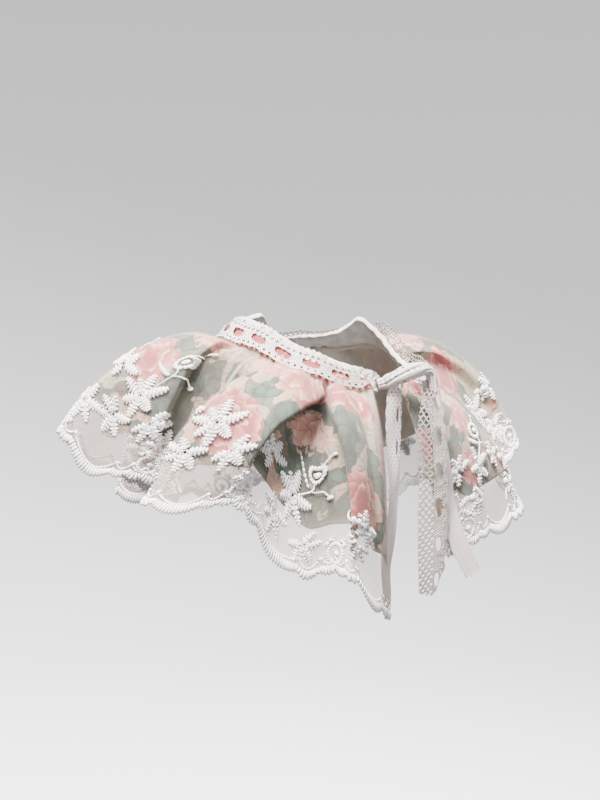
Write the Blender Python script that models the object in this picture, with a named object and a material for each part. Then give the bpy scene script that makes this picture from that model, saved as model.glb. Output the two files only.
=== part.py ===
"""A small pet's lace cape collar, filled out as worn and tied at the front of the neck.

A printed cotton flounce, gathered in deep folds, hangs from a bound neckline.
An embroidered net flounce lies over it and reaches lower, to a scalloped hem.
An eyelet lace tape covers the gathers and is knotted where the two fronts part.

All sizes below are in millimetres and degrees. The origin is the middle of the
neckline, +Z is up and the knot is on the -Y side. Angles run from the knot
towards -X, so 90 is the wearer's right and 180 the nape.
"""
from collections import namedtuple
from math import pi

import bmesh
import bpy
import numpy as np

MM = 0.001
SEAM_GAP = 0.3
CLOTH = 1.0

# Neckline: a slanting band, wider at its lower edge. Places on it are given by w,
# the distance down the band from its middle, and by the distance out from it.
NECK_RADIUS = 48.5
BAND_OUT_PER_MM = 0.547
BAND_DOWN_PER_MM = 0.837
GATHER_TOP = -1.0
GATHER_FOOT = 7.7

NeckStation = namedtuple("NeckStation", "angle height binding_rise")
NECKLINE = [
    NeckStation(0, -12.0, 0), NeckStation(18, -10.6, 0), NeckStation(28, -8.6, 0),
    NeckStation(42, -5.2, 0), NeckStation(55, -1.2, 0), NeckStation(66, 1.8, 0),
    NeckStation(78, 6.2, 0), NeckStation(92, 10.4, 0), NeckStation(104, 12.4, 0),
    NeckStation(116, 12.6, 0), NeckStation(128, 11.2, 0), NeckStation(140, 9.4, 0),
    NeckStation(156, 7.0, 1.5), NeckStation(168, 5.0, 4.0), NeckStation(178, 3.5, 6.0),
    NeckStation(186, 1.5, 3.5), NeckStation(197, -1.2, -1.0), NeckStation(212, -1.6, -1.2),
    NeckStation(230, -1.0, -1.2), NeckStation(241, -0.4, 0.6), NeckStation(248, 0.6, 3.2),
    NeckStation(255, 1.4, 5.2), NeckStation(263, 1.0, 1.6), NeckStation(271, -2.4, 0),
    NeckStation(280, -8.6, 0), NeckStation(290, -13.0, 0), NeckStation(305, -14.6, 0),
    NeckStation(330, -13.4, 0),
]

# Each row is one line down the cape, from the gathers to the hem, in order round it.
# launch is its slope above level as it leaves the neck, and fall its slope below level
# at the hem. stand is how far a fold stands proud of its line, and crisp how sharp it is.
Fold = namedtuple("Fold", "name neck_angle hem_angle hem_radius hem_height launch fall stand crisp")
FOLDS = [
    Fold("front edge, right side", 26.0, 25.0, 66, -116, -62, 86, 0.6, 0.0),
    Fold("front panel", 34.0, 34.0, 77, -106, -20, 88, 2.5, 0.0),
    Fold("front panel fold", 45.6, 42.5, 81, -92, -12, 86, 4.2, 0.35),
    Fold("recess, near side", 49.4, 48.0, 73, -90, -58, 86, 0.0, 0.0),
    Fold("recess, floor", 51.2, 59.0, 75, -92, -66, 86, 0.0, 0.0),
    Fold("recess, far side", 53.0, 70.0, 78, -78, -60, 80, 0.0, 0.0),
    Fold("second lobe, near fold", 57.0, 77.0, 88, -59, -8, 66, 4.6, 0.35),
    Fold("second lobe", 70.5, 86.0, 101, -60, 5, 62, 2.5, 0.0),
    Fold("second lobe, far fold", 85.5, 97.0, 110, -60, -20, 52, 4.6, 0.35),
    Fold("valley one, near side", 90.5, 104.0, 83, -62, -58, 70, 0.0, 0.0),
    Fold("valley one, far side", 95.5, 110.0, 81, -60, -50, 70, 0.0, 0.0),
    Fold("first lobe, near fold", 100.0, 115.0, 98, -54, 0, 60, 3.0, 0.2),
    Fold("first lobe", 110.0, 121.5, 113, -52, 15, 56, 2.5, 0.0),
    Fold("first lobe, tip", 121.0, 127.0, 127, -35, 20, 58, 2.0, 0.0),
    Fold("first lobe, back fold", 137.0, 139.0, 112, -54, 8, 60, 3.0, 0.2),
    Fold("valley two, near side", 141.5, 147.0, 86, -72, -35, 75, 0.0, 0.0),
    Fold("valley two, far side", 146.5, 152.0, 88, -76, -35, 78, 0.0, 0.0),
    Fold("third lobe, near fold", 151.0, 158.0, 108, -77, 0, 75, 3.0, 0.2),
    Fold("third lobe", 164.0, 170.0, 108, -83, 8, 70, 2.5, 0.0),
    Fold("third lobe, back fold", 178.0, 183.0, 100, -84, 0, 75, 3.0, 0.2),
    Fold("valley three, near side", 183.0, 190.0, 79, -87, -40, 82, 0.0, 0.0),
    Fold("valley three, far side", 188.5, 197.0, 79, -87, -40, 82, 0.0, 0.0),
    Fold("fourth lobe, near fold", 193.5, 204.0, 94, -86, 0, 78, 3.0, 0.2),
    Fold("fourth lobe", 209.0, 217.0, 104, -84, 8, 72, 2.5, 0.0),
    Fold("fourth lobe, back fold", 224.0, 230.0, 94, -89, 0, 78, 3.0, 0.2),
    Fold("valley four, near side", 229.0, 237.0, 78, -91, -40, 82, 0.0, 0.0),
    Fold("valley four, far side", 234.0, 245.0, 78, -90, -40, 82, 0.0, 0.0),
    Fold("fifth lobe, near fold", 239.0, 253.0, 84, -87, 0, 80, 3.0, 0.2),
    Fold("fifth lobe", 254.0, 268.0, 98, -76, 25, 75, 2.5, 0.0),
    Fold("fifth lobe, tip", 270.0, 287.0, 117, -57, 38, 84, 2.5, 0.1),
    Fold("valley five, near side", 277.0, 292.0, 104, -66, 10, 72, 0.0, 0.0),
    Fold("valley five, far side", 283.0, 297.0, 93, -71, -28, 66, 0.0, 0.0),
    Fold("sixth lobe, near fold", 289.0, 302.0, 96, -76, -28, 64, 2.4, 0.1),
    Fold("sixth lobe, tip", 304.0, 309.0, 98, -82, -30, 64, 2.0, 0.0),
    Fold("sixth lobe", 324.0, 329.0, 83, -83, -30, 78, 2.0, 0.0),
    Fold("front panel, left side", 346.0, 343.0, 76, -86, -50, 82, 1.2, 0.0),
    Fold("front edge, left side", 367.0, 355.0, 68, -93, -72, 82, 0.6, 0.0),
]
HANDLE = 0.36            # length of a curve's handles, as a share of its chord
STAND_FULL_AT = 0.14     # share of the depth where a fold is fully proud
STAND_AT_HEM = 0.45      # share of the stand that is left at the hem
PLACED_BY_HEM = 0.6      # weight of the hem's own length in where a line lies along it
PLACED_ABOVE_HEM_AT = 0.6

# Hem of the net: the places along it where the border's ring motifs sit, and the
# scallops of the border between two of them, with how far each one drops.
RING_PLACES = [50, 108, 154, 199, 249, 300, 353, 407, 459, 506, 557, 608, 662, 718]
Scallop = namedtuple("Scallop", "width drop segments")
BORDER = [Scallop(7.5, 2.2, 2), Scallop(7.5, 2.2, 2), Scallop(22.0, 4.6, 4),
          Scallop(7.5, 2.2, 2), Scallop(7.5, 2.2, 2)]
MM_PER_DEPTH = 100.0     # a depth of 1 is about this long, from gathers to hem
COTTON_DEPTH = 0.77
DEPTH_ROWS = [(GATHER_TOP - GATHER_FOOT) / MM_PER_DEPTH, 0.0, 0.14, 0.34, 0.56, COTTON_DEPTH]
NET_ROWS = [0.89, 1.0]

# Eyelet lace tape over the gathers.
TAPE_TOP = -7.0
TAPE_FOOT = 6.0
TAPE_OVER_GATHERS = CLOTH + 3 * SEAM_GAP
TAPE_LEAN_IN = 2.9
TAPE_LEAN_OUT = 6.5
TAPE_LEAN_MIDDLE = 0.25
TAPE_LEANS_OUT = (256.0, 268.0)
TAPE_LEANS_BACK = (322.0, 346.0)
TAPE_FOOT_LIFT = 1.0
TAPE_END_SPREAD = 2.0
TAPE_START = 20.5
TAPE_END = 358.0
TAPE_FULL_FROM = 36.0
TAPE_FULL_TO = 338.0
TAPE_WIDTH_AT_ENDS = 0.3
TAPE_EYELETS = 22
EYELET_LENGTH = 7.0
EYELET_HEIGHT = 3.6
EYELET_SHOULDER = 1.8
EYELET_TIP = 1.3
EYELET_MIDDLE = 0.8

# Binding inside the neckline, with a rolled edge.
BINDING_FOOT = 4.0
BINDING_TOP = -6.0
BINDING_ROLL = 1.0
BINDING_START = 22.0
BINDING_END = 356.0
BINDING_STEPS = 84


def outward(angle):
    """Level unit vector away from the neck's middle at an angle."""
    turn = np.radians(angle)
    return np.stack([-np.sin(turn), -np.cos(turn)], axis=-1)


def ease(start, end, value):
    """Smooth rise from 0 to 1 between start and end."""
    share = np.clip((value - start) / (end - start), 0.0, 1.0)
    return share * share * (3.0 - 2.0 * share)


def hermite(t, step, start, start_slope, end, end_slope):
    """Cubic between two values with given slopes."""
    return (start * (2 * t**3 - 3 * t**2 + 1) + end * (3 * t**2 - 2 * t**3)
            + step * start_slope * (t**3 - 2 * t**2 + t) + step * end_slope * (t**3 - t**2))


def round_the_neck(column, angle):
    """One column of NECKLINE at any angle, on a smooth closed curve."""
    angles = np.array([station.angle for station in NECKLINE], float)
    values = np.array([getattr(station, column) for station in NECKLINE], float)
    angles = np.concatenate([angles - 360.0, angles, angles + 360.0])
    values = np.tile(values, 3)
    slopes = np.gradient(values, angles)
    angle = np.asarray(angle, float) % 360.0
    k = np.searchsorted(angles, angle, side="right") - 1
    step = angles[k + 1] - angles[k]
    t = (angle - angles[k]) / step
    return hermite(t, step, values[k], slopes[k], values[k + 1], slopes[k + 1])


def band_point(angle, w, out):
    """Point of the slanting neck band, w down it and a distance out, square to it."""
    angle, w, out = np.broadcast_arrays(np.asarray(angle, float), w, out)
    near = 0.5
    climb = ((round_the_neck("height", angle + near) - round_the_neck("height", angle - near))
             / (2 * np.radians(near) * NECK_RADIUS))
    sideways = -BAND_OUT_PER_MM * climb
    square = out / np.sqrt(1 + sideways**2)
    radius = NECK_RADIUS + BAND_OUT_PER_MM * w + BAND_DOWN_PER_MM * square
    height = round_the_neck("height", angle) - BAND_DOWN_PER_MM * w + BAND_OUT_PER_MM * square
    level = (outward(angle) * radius[..., None]
             + outward(angle + 90.0) * (sideways * square)[..., None])
    return np.concatenate([level, height[..., None]], axis=-1)


def column_of(field):
    """One column of FOLDS as an array."""
    return np.array([getattr(fold, field) for fold in FOLDS], float)


def fold_line(row, depth):
    """Radius and height down the fold lines with the given rows, gathers to hem.

    Below the gathers each line is a cubic curve, lifted off it by the fold's stand.
    Above, at a depth under 0, it lies on the neck band. The share of the neckline's
    own height that a line keeps is left out, for cape_point to put back.
    """
    neck_height = round_the_neck("height", column_of("neck_angle")[row])
    start_radius = NECK_RADIUS + BAND_OUT_PER_MM * GATHER_FOOT
    start_height = neck_height - BAND_DOWN_PER_MM * GATHER_FOOT
    hem_radius = column_of("hem_radius")[row]
    hem_height = column_of("hem_height")[row]
    launch = np.radians(column_of("launch")[row])
    fall = np.radians(column_of("fall")[row])
    handle = HANDLE * np.hypot(hem_radius - start_radius, hem_height - start_height)
    near_radius = start_radius + handle * np.cos(launch)
    near_height = start_height + handle * np.sin(launch)
    far_radius = hem_radius - handle * np.cos(fall)
    far_height = hem_height + handle * np.sin(fall)

    t = np.maximum(depth, 0.0)
    a, b, c, d = (1 - t)**3, 3 * (1 - t)**2 * t, 3 * (1 - t) * t**2, t**3
    radius = a * start_radius + b * near_radius + c * far_radius + d * hem_radius
    height = a * start_height + b * near_height + c * far_height + d * hem_height
    e, f, g = (1 - t)**2, 2 * (1 - t) * t, t**2
    run = (e * (near_radius - start_radius) + f * (far_radius - near_radius)
           + g * (hem_radius - far_radius))
    rise = (e * (near_height - start_height) + f * (far_height - near_height)
            + g * (hem_height - far_height))
    slope = np.hypot(run, rise)
    proud = ease(0.0, STAND_FULL_AT, t) * (1 - (1 - STAND_AT_HEM) * ease(0.5, 1.0, t))
    proud = proud * column_of("stand")[row]
    above = np.minimum(depth, 0.0) * MM_PER_DEPTH
    radius = radius - proud * rise / slope + BAND_OUT_PER_MM * above
    height = height + proud * run / slope - BAND_DOWN_PER_MM * above
    return radius, height - neck_height * kept_of_neckline(t)


def kept_of_neckline(depth):
    """Share of the neckline's rise and fall that the cape keeps at a depth."""
    return (1 - np.maximum(depth, 0.0))**2


def fold_places():
    """Distance of each fold line along the cape, from the right front edge."""
    def points_at(depth):
        rows = np.arange(len(FOLDS))
        radius, height = fold_line(rows, np.full(rows.shape, depth))
        height = height + round_the_neck("height", column_of("neck_angle")) * kept_of_neckline(depth)
        angle = (1 - depth) * column_of("neck_angle") + depth * column_of("hem_angle")
        return np.concatenate([outward(angle) * radius[:, None], height[:, None]], axis=-1)

    at_hem, above_hem = points_at(1.0), points_at(PLACED_ABOVE_HEM_AT)
    steps = (PLACED_BY_HEM * np.linalg.norm(np.diff(at_hem, axis=0), axis=1)
             + (1 - PLACED_BY_HEM) * np.linalg.norm(np.diff(above_hem, axis=0), axis=1))
    return np.concatenate([[0.0], np.cumsum(steps)])


PLACES = fold_places()
HEM_LENGTH = PLACES[-1]


def steady_angle(column, along):
    """Angle of the cape at a place along it, never turning back between fold lines."""
    values = column_of(column)
    chords = np.diff(values) / np.diff(PLACES)
    slopes = np.concatenate([chords[:1], 2 / (1 / chords[:-1] + 1 / chords[1:]), chords[-1:]])
    k = np.clip(np.searchsorted(PLACES, along, side="right") - 1, 0, len(FOLDS) - 2)
    step = PLACES[k + 1] - PLACES[k]
    t = (along - PLACES[k]) / step
    return hermite(t, step, values[k], slopes[k], values[k + 1], slopes[k + 1])


def cape_point(along, depth):
    """Points of the cape's own surface: a curve through the fold lines at each depth.

    Radius and height are a cubic between neighbouring lines. A crisp fold shortens its
    tangent there, which draws the surface into an edge.
    """
    along = np.broadcast_to(along, depth.shape)
    last = len(FOLDS) - 1
    k = np.clip(np.searchsorted(PLACES, along, side="right") - 1, 0, last - 1)
    before, after = np.maximum(k - 1, 0), np.minimum(k + 2, last)
    step = PLACES[k + 1] - PLACES[k]
    t = (along - PLACES[k]) / step
    soft = 1 - column_of("crisp")
    lines = [fold_line(row, depth) for row in (before, k, k + 1, after)]
    across = []
    for far_back, start, end, far_on in zip(*lines):
        start_slope = soft[k] * (end - far_back) / (PLACES[k + 1] - PLACES[before])
        end_slope = soft[k + 1] * (far_on - start) / (PLACES[after] - PLACES[k])
        across.append(hermite(t, step, start, start_slope, end, end_slope))
    radius, height = across
    neck_angle, hem_angle = steady_angle("neck_angle", along), steady_angle("hem_angle", along)
    down = np.maximum(depth, 0.0)
    height = height + round_the_neck("height", neck_angle) * kept_of_neckline(depth)
    level = outward((1 - down) * neck_angle + down * hem_angle) * radius[..., None]
    return np.concatenate([level, height[..., None]], axis=-1)


def cape_normal(along, depth):
    """Unit vectors out of the cape, from points a little to each side."""
    reach_along, reach_down = 2.4, 0.012
    right = np.minimum(along + reach_along, HEM_LENGTH)
    left = np.maximum(along - reach_along, 0.0)
    across = cape_point(right, depth) - cape_point(left, depth)
    down = cape_point(along, depth + reach_down) - cape_point(along, depth - reach_down)
    normal = np.cross(across, down)
    return normal / np.linalg.norm(normal, axis=-1, keepdims=True)


def hem_columns():
    """Distances along the hem where both flounces have points, and the drop at each."""
    full_width = sum(scallop.width for scallop in BORDER)
    places, drops = [0.0], [0.0]
    for ring, next_ring in zip([0.0] + RING_PLACES, RING_PLACES + [HEM_LENGTH]):
        scale = (next_ring - ring) / full_width
        for scallop in BORDER:
            start = places[-1]
            for step in range(1, scallop.segments + 1):
                share = step / scallop.segments
                places.append(start + share * scallop.width * scale)
                drops.append(min(scale, 1.0) * scallop.drop * np.sin(pi * share))
    return np.array(places), np.array(drops)


def closed_cloth(name, outer, inner, material, holes=None):
    """Closed body between two grids of points, walled round its edge and its holes.

    holes is a table of True for each cell of the grid that is cut through.
    """
    rows, columns = outer.shape[0] - 1, outer.shape[1] - 1
    kept = np.ones((rows, columns), bool) if holes is None else ~holes
    points = np.concatenate([outer.reshape(-1, 3), inner.reshape(-1, 3)])
    back = (rows + 1) * (columns + 1)

    def index(row, column):
        return row * (columns + 1) + column

    faces = []
    for row in range(rows):
        for column in range(columns):
            if not kept[row, column]:
                continue
            a, b = index(row, column), index(row, column + 1)
            c, d = index(row + 1, column + 1), index(row + 1, column)
            faces += [(a, b, c), (a, c, d)]
            faces += [(back + a, back + c, back + b), (back + a, back + d, back + c)]
            sides = [(row - 1, column, a, b), (row, column + 1, b, c),
                     (row + 1, column, c, d), (row, column - 1, d, a)]
            for beside_row, beside_column, p, q in sides:
                inside = 0 <= beside_row < rows and 0 <= beside_column < columns
                if not inside or not kept[beside_row, beside_column]:
                    faces += [(p, back + p, q), (q, back + p, back + q)]
    return solid_from(name, points, faces, material)


def solid_from(name, points, faces, material):
    """Named object from points in millimetres, with its faces turned outwards."""
    mesh = bpy.data.meshes.new(name)
    body = bmesh.new()
    used = sorted({corner for face in faces for corner in face})
    corners = {corner: body.verts.new(points[corner] * MM) for corner in used}
    for face in faces:
        body.faces.new([corners[corner] for corner in face])
    bmesh.ops.recalc_face_normals(body, faces=body.faces)
    body.to_mesh(mesh)
    body.free()
    mesh.materials.append(material)
    solid = bpy.data.objects.new(name, mesh)
    bpy.context.collection.objects.link(solid)
    return solid


def cloth_material(name, colour, roughness):
    """Plain cloth finish with one colour."""
    material = bpy.data.materials.new(name)
    material.use_nodes = True
    shader = material.node_tree.nodes["Principled BSDF"]
    shader.inputs["Base Color"].default_value = (*colour, 1.0)
    shader.inputs["Roughness"].default_value = roughness
    shader.inputs["Metallic"].default_value = 0.0
    return material


def cotton_flounce():
    """Printed cotton underlayer: gathered heading, folds, and a straight lower edge."""
    along, _ = hem_columns()
    depth = np.repeat(np.array(DEPTH_ROWS)[None, :], len(along), axis=0)
    place, out = cape_point(along[:, None], depth), cape_normal(along[:, None], depth)
    closed_cloth("cotton_flounce", place, place - CLOTH * out,
                 cloth_material("printed cotton", (0.80, 0.70, 0.62), 0.85))


def lace_flounce():
    """Embroidered net over the cotton, longer than it, with the scalloped hem."""
    along, drop = hem_columns()
    depth = np.repeat(np.array(DEPTH_ROWS + NET_ROWS)[None, :], len(along), axis=0)
    depth[:, -1] += drop / MM_PER_DEPTH
    place, out = cape_point(along[:, None], depth), cape_normal(along[:, None], depth)
    closed_cloth("lace_flounce", place + (SEAM_GAP + CLOTH) * out, place + SEAM_GAP * out,
                 cloth_material("embroidered net", (0.86, 0.82, 0.79), 0.7))


def neck_binding():
    """Bias strip inside the neckline, with a rolled top edge that peaks twice."""
    angle = np.linspace(BINDING_START, BINDING_END, BINDING_STEPS + 1)
    rise = round_the_neck("binding_rise", angle) / BAND_DOWN_PER_MM
    face = -(CLOTH + SEAM_GAP)
    back = face - CLOTH
    top, roll = BINDING_TOP, BINDING_ROLL
    Corner = namedtuple("Corner", "w out")
    section = [Corner(BINDING_FOOT, face), Corner(top, face), Corner(top - 0.9 * roll, face - 0.5 * roll),
               Corner(top - 0.9 * roll, face - 1.5 * roll), Corner(top, face - 2 * roll),
               Corner(top + 1.3 * roll, face - 1.5 * roll), Corner(BINDING_FOOT, back)]
    rings = []
    for corner in section:
        lifted = 0.0 if corner.w == BINDING_FOOT else rise
        rings.append(band_point(angle, corner.w - lifted, np.full(angle.shape, corner.out)))
    swept_solid("neck_binding", np.stack(rings, axis=1),
                cloth_material("binding cotton", (0.82, 0.77, 0.72), 0.8))


def swept_solid(name, sections, material):
    """Closed body through sections of equally many points, capped at both ends."""
    count, size = sections.shape[:2]
    faces = []
    for section in range(count - 1):
        for corner in range(size):
            beside = (corner + 1) % size
            a, b = section * size + corner, section * size + beside
            c, d = a + size, b + size
            faces += [(a, b, c), (b, d, c)]
    faces += [tuple(range(size)), tuple(range((count - 1) * size, count * size))]
    return solid_from(name, sections.reshape(-1, 3), faces, material)


def eyelet_grid(count, pitch):
    """Columns along an eyelet lace and the half height of the eyelet row at each.

    Four columns make a pitch: two tips and two shoulders of one eyelet, and the bar
    between it and the next has none.
    """
    along, half = [], []
    for eyelet in range(count):
        start = eyelet * pitch + 0.5 * (pitch - EYELET_LENGTH)
        along += [start, start + EYELET_SHOULDER,
                  start + EYELET_LENGTH - EYELET_SHOULDER, start + EYELET_LENGTH]
        half += [EYELET_TIP / 2, EYELET_HEIGHT / 2, EYELET_HEIGHT / 2, EYELET_TIP / 2]
    along = np.array([0.0] + along + [count * pitch])
    half = np.array([EYELET_TIP / 2] + half + [EYELET_TIP / 2])
    cut = np.zeros(len(along) - 1, bool)
    for eyelet in range(count):
        cut[1 + 4 * eyelet:4 + 4 * eyelet] = True
    return along, half, cut


def neck_lace():
    """Eyelet tape over the gathers. Its ends are drawn together at the knot."""
    pitch = (TAPE_END - TAPE_START) / TAPE_EYELETS
    mm_per_degree = 2 * pi * NECK_RADIUS / 360.0
    along, half, cut = eyelet_grid(TAPE_EYELETS, pitch * mm_per_degree)
    angle = TAPE_START + along / mm_per_degree
    full = ease(TAPE_START, TAPE_FULL_FROM, angle) * (1 - ease(TAPE_FULL_TO, TAPE_END, angle))
    width = TAPE_WIDTH_AT_ENDS + (1 - TAPE_WIDTH_AT_ENDS) * full
    lean = TAPE_LEAN_OUT * ease(*TAPE_LEANS_OUT, angle) * (1 - ease(*TAPE_LEANS_BACK, angle))
    over = TAPE_OVER_GATHERS
    rows_w = [TAPE_TOP * width, EYELET_MIDDLE - half * width, EYELET_MIDDLE + half * width,
              TAPE_FOOT * width]
    spread = TAPE_END_SPREAD * ease(TAPE_FULL_TO, TAPE_END, angle)
    rows_out = [lean + over - TAPE_LEAN_IN * width, over + TAPE_LEAN_MIDDLE * lean, over,
                over + TAPE_FOOT_LIFT * width]
    outer, inner = [], []
    for w, out in zip(rows_w, rows_out):
        inner.append(band_point(angle, w, out + spread))
        outer.append(band_point(angle, w, out + spread + CLOTH))
    holes = np.zeros((3, len(cut)), bool)
    holes[1] = cut
    closed_cloth("neck_lace", np.stack(outer), np.stack(inner),
                 cloth_material("eyelet lace", (0.86, 0.83, 0.81), 0.75), holes)


KnotStation = namedtuple("KnotStation", "angle radius height half_depth half_height turn")
KNOT = [
    KnotStation(18.6, 50.6, -10.0, 1.5, 2.0, 0),
    KnotStation(17.0, 51.8, -9.2, 2.3, 3.2, 20),
    KnotStation(14.5, 53.6, -7.8, 3.3, 4.6, 45),
    KnotStation(11.0, 55.2, -6.4, 4.0, 5.4, 70),
    KnotStation(7.0, 56.6, -5.2, 4.3, 5.4, 95),
    KnotStation(3.5, 57.6, -4.4, 4.2, 4.7, 120),
    KnotStation(0.5, 58.6, -4.4, 3.9, 4.1, 145),
    KnotStation(358.2, 59.8, -5.8, 3.4, 3.4, 170),
    KnotStation(357.2, 60.8, -8.6, 2.8, 2.2, 190),
]
KNOT_SIDES = 14
KNOT_GROOVES = 3
KNOT_GROOVE_DEPTH = 0.09


def smooth_rows(rows, samples):
    """Smooth curve through the columns of a table, evenly sampled."""
    table = np.array(rows, float)
    place = np.linspace(0, len(table) - 1, samples)
    k = np.minimum(place.astype(int), len(table) - 2)
    t = (place - k)[:, None]
    slopes = np.gradient(table, axis=0)
    return hermite(t, 1.0, table[k], slopes[k], table[k + 1], slopes[k + 1])


def tie_knot():
    """The knot: the tape's ends rolled over each other into one ridged, arched lump."""
    rows = [station._replace(angle=(station.angle + 180) % 360 - 180) for station in KNOT]
    angle, radius, height, depth, tall, turn = smooth_rows(rows, 17).T
    centre = np.concatenate([outward(angle) * radius[:, None], height[:, None]], axis=-1)
    forward = np.gradient(centre, axis=0)
    forward /= np.linalg.norm(forward, axis=-1, keepdims=True)
    away = np.concatenate([outward(angle), 0 * height[:, None]], axis=-1)
    away -= (away * forward).sum(axis=-1, keepdims=True) * forward
    away /= np.linalg.norm(away, axis=-1, keepdims=True)
    upward = np.cross(forward, away)
    round_it = np.linspace(0, 2 * pi, KNOT_SIDES, endpoint=False)
    ridge = 1 - KNOT_GROOVE_DEPTH * (1 + np.cos(KNOT_GROOVES * round_it + np.radians(turn)[:, None]))
    sections = (centre[:, None] + away[:, None] * (depth[:, None] * ridge * np.cos(round_it))[..., None]
                + upward[:, None] * (tall[:, None] * ridge * np.sin(round_it))[..., None])
    swept_solid("tie_knot", sections, cloth_material("knotted lace", (0.88, 0.85, 0.83), 0.75))


# Tie ends: rows down each one. facing is the angle that its flat side looks to.
TieStation = namedtuple("TieStation", "x y z half_width facing")
LEFT_TIE = [
    TieStation(-12.2, -51.6, -12.2, 4.0, 345), TieStation(-12.9, -50.9, -25, 5.0, 335),
    TieStation(-12.6, -50.6, -40, 5.6, 332), TieStation(-12.1, -50.9, -56, 5.6, 322),
    TieStation(-12.7, -50.2, -74, 5.8, 340), TieStation(-13.8, -49.0, -86, 5.2, 346),
    TieStation(-14.5, -48.2, -98, 4.6, 326), TieStation(-14.0, -48.6, -111, 3.6, 330),
    TieStation(-14.0, -48.6, -122, 1.6, 335),
]
FRONT_TIE = [
    TieStation(3.0, -61.2, -11.8, 3.4, 30), TieStation(0.2, -62.9, -19, 5.2, 34),
    TieStation(-2.2, -64.4, -27, 6.4, 40), TieStation(-3.2, -65.5, -37, 6.8, 46),
    TieStation(-3.0, -66.2, -55, 7.0, 50), TieStation(-3.2, -66.2, -74, 7.0, 52),
    TieStation(-3.2, -66.2, -92, 6.6, 48), TieStation(-3.6, -65.8, -110, 5.4, 50),
]
FRONT_TIE_EYELETS = 6
FRONT_TIE_EYELETS_ASIDE = -0.25    # of the half width, towards the viewer's right
RIGHT_TIE = [
    TieStation(2.0, -57.6, -9.9, 2.0, 22), TieStation(2.3, -60.4, -18, 2.8, 24),
    TieStation(2.6, -63.6, -28, 3.6, 22), TieStation(2.7, -66.6, -42, 4.2, 20),
    TieStation(3.8, -68.5, -58, 4.4, 20), TieStation(4.9, -70.6, -72, 4.4, 26),
    TieStation(7.4, -74.2, -86, 4.4, 36), TieStation(12.0, -79.8, -101, 4.2, 38),
]


def tie_frame(rows, samples):
    """Middle line, width direction, face direction and half width down a tie end."""
    table = smooth_rows(rows, samples)
    middle, half = table[:, :3], table[:, 3:4]
    facing = np.concatenate([outward(table[:, 4]), 0 * half], axis=-1)
    down = np.gradient(middle, axis=0)
    across = np.cross(down, facing)
    across /= np.linalg.norm(across, axis=-1, keepdims=True)
    face = np.cross(across, down)
    face /= np.linalg.norm(face, axis=-1, keepdims=True)
    return middle, across, face, half


def plain_tie(name, rows, samples, material):
    """Tie end as a strip of cloth, slightly cupped along its middle."""
    middle, across, face, half = tie_frame(rows, samples)
    lines = [middle - half * across - 0.6 * face, middle + 0.6 * face,
             middle + half * across - 0.6 * face]
    outer = np.stack([line + 0.5 * CLOTH * face for line in lines])
    inner = np.stack([line - 0.5 * CLOTH * face for line in lines])
    closed_cloth(name, outer, inner, material)


def left_tie():
    plain_tie("tie_tail_left", LEFT_TIE, 17, cloth_material("lace tie end", (0.82, 0.78, 0.77), 0.75))


def right_tie():
    plain_tie("tie_tail_right", RIGHT_TIE, 13, cloth_material("plain tie end", (0.84, 0.79, 0.76), 0.8))


def front_tie():
    """Wide tie end with its row of eyelets."""
    samples = 41
    middle, across, face, half = tie_frame(FRONT_TIE, samples)
    length = np.concatenate([[0], np.cumsum(np.linalg.norm(np.diff(middle, axis=0), axis=1))])
    pitch = length[-1] / FRONT_TIE_EYELETS
    along, eyelet_half, cut = eyelet_grid(FRONT_TIE_EYELETS, pitch)

    def at(values):
        return np.stack([np.interp(along, length, column) for column in values.T], axis=-1)

    middle, across, face, half = at(middle), at(across), at(face), at(half)
    eyelet_half = np.minimum(eyelet_half, 0.3 * half[:, 0])[:, None]
    aside = FRONT_TIE_EYELETS_ASIDE * half
    lines = [middle - half * across, middle + (aside - eyelet_half) * across,
             middle + (aside + eyelet_half) * across, middle + half * across]
    outer = np.stack([line + 0.5 * CLOTH * face for line in lines])
    inner = np.stack([line - 0.5 * CLOTH * face for line in lines])
    holes = np.zeros((3, len(cut)), bool)
    holes[1] = cut
    closed_cloth("tie_tail_front", outer, inner,
                 cloth_material("eyelet tie end", (0.84, 0.80, 0.79), 0.75), holes)


for old in list(bpy.data.objects):
    bpy.data.objects.remove(old, do_unlink=True)

cotton_flounce()
lace_flounce()
neck_binding()
neck_lace()
tie_knot()
left_tie()
front_tie()
right_tie()
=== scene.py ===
"""Looks of a small pet's lace cape collar, as worn and tied at the front of the neck.

A printed cotton flounce and an embroidered net one hang from a bound neckline, with an
eyelet lace tape over the gathers, knotted where the fronts part. Every piece is a thin
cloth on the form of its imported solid.

Sizes are in millimetres and degrees. The origin is the middle of the neckline, +Z is up
and the knot is on the -Y side. Angles run from the knot towards -X.
"""
from collections import namedtuple
from math import pi

import bpy
from mathutils import Matrix
import numpy as np


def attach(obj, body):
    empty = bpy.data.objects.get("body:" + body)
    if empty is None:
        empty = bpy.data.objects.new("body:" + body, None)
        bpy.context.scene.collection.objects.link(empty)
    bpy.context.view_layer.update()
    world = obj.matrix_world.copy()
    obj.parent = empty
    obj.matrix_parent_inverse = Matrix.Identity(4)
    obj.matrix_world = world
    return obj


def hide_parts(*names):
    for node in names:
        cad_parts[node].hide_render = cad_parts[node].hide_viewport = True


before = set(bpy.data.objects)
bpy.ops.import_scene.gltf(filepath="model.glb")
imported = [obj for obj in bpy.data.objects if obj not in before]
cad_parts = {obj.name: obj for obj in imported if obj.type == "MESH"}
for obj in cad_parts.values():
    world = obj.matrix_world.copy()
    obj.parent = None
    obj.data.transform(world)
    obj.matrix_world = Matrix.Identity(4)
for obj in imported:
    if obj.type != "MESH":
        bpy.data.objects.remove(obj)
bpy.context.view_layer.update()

# Camera
# It stands where the photograph was taken from: to the knot's right, a little above the
# neck and 0.9 m away. The collar's middle lies off the picture's middle, up and right.
MM = 0.001
VIEW_AZIMUTH = -50.0
VIEW_ELEVATION = 9.0
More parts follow.
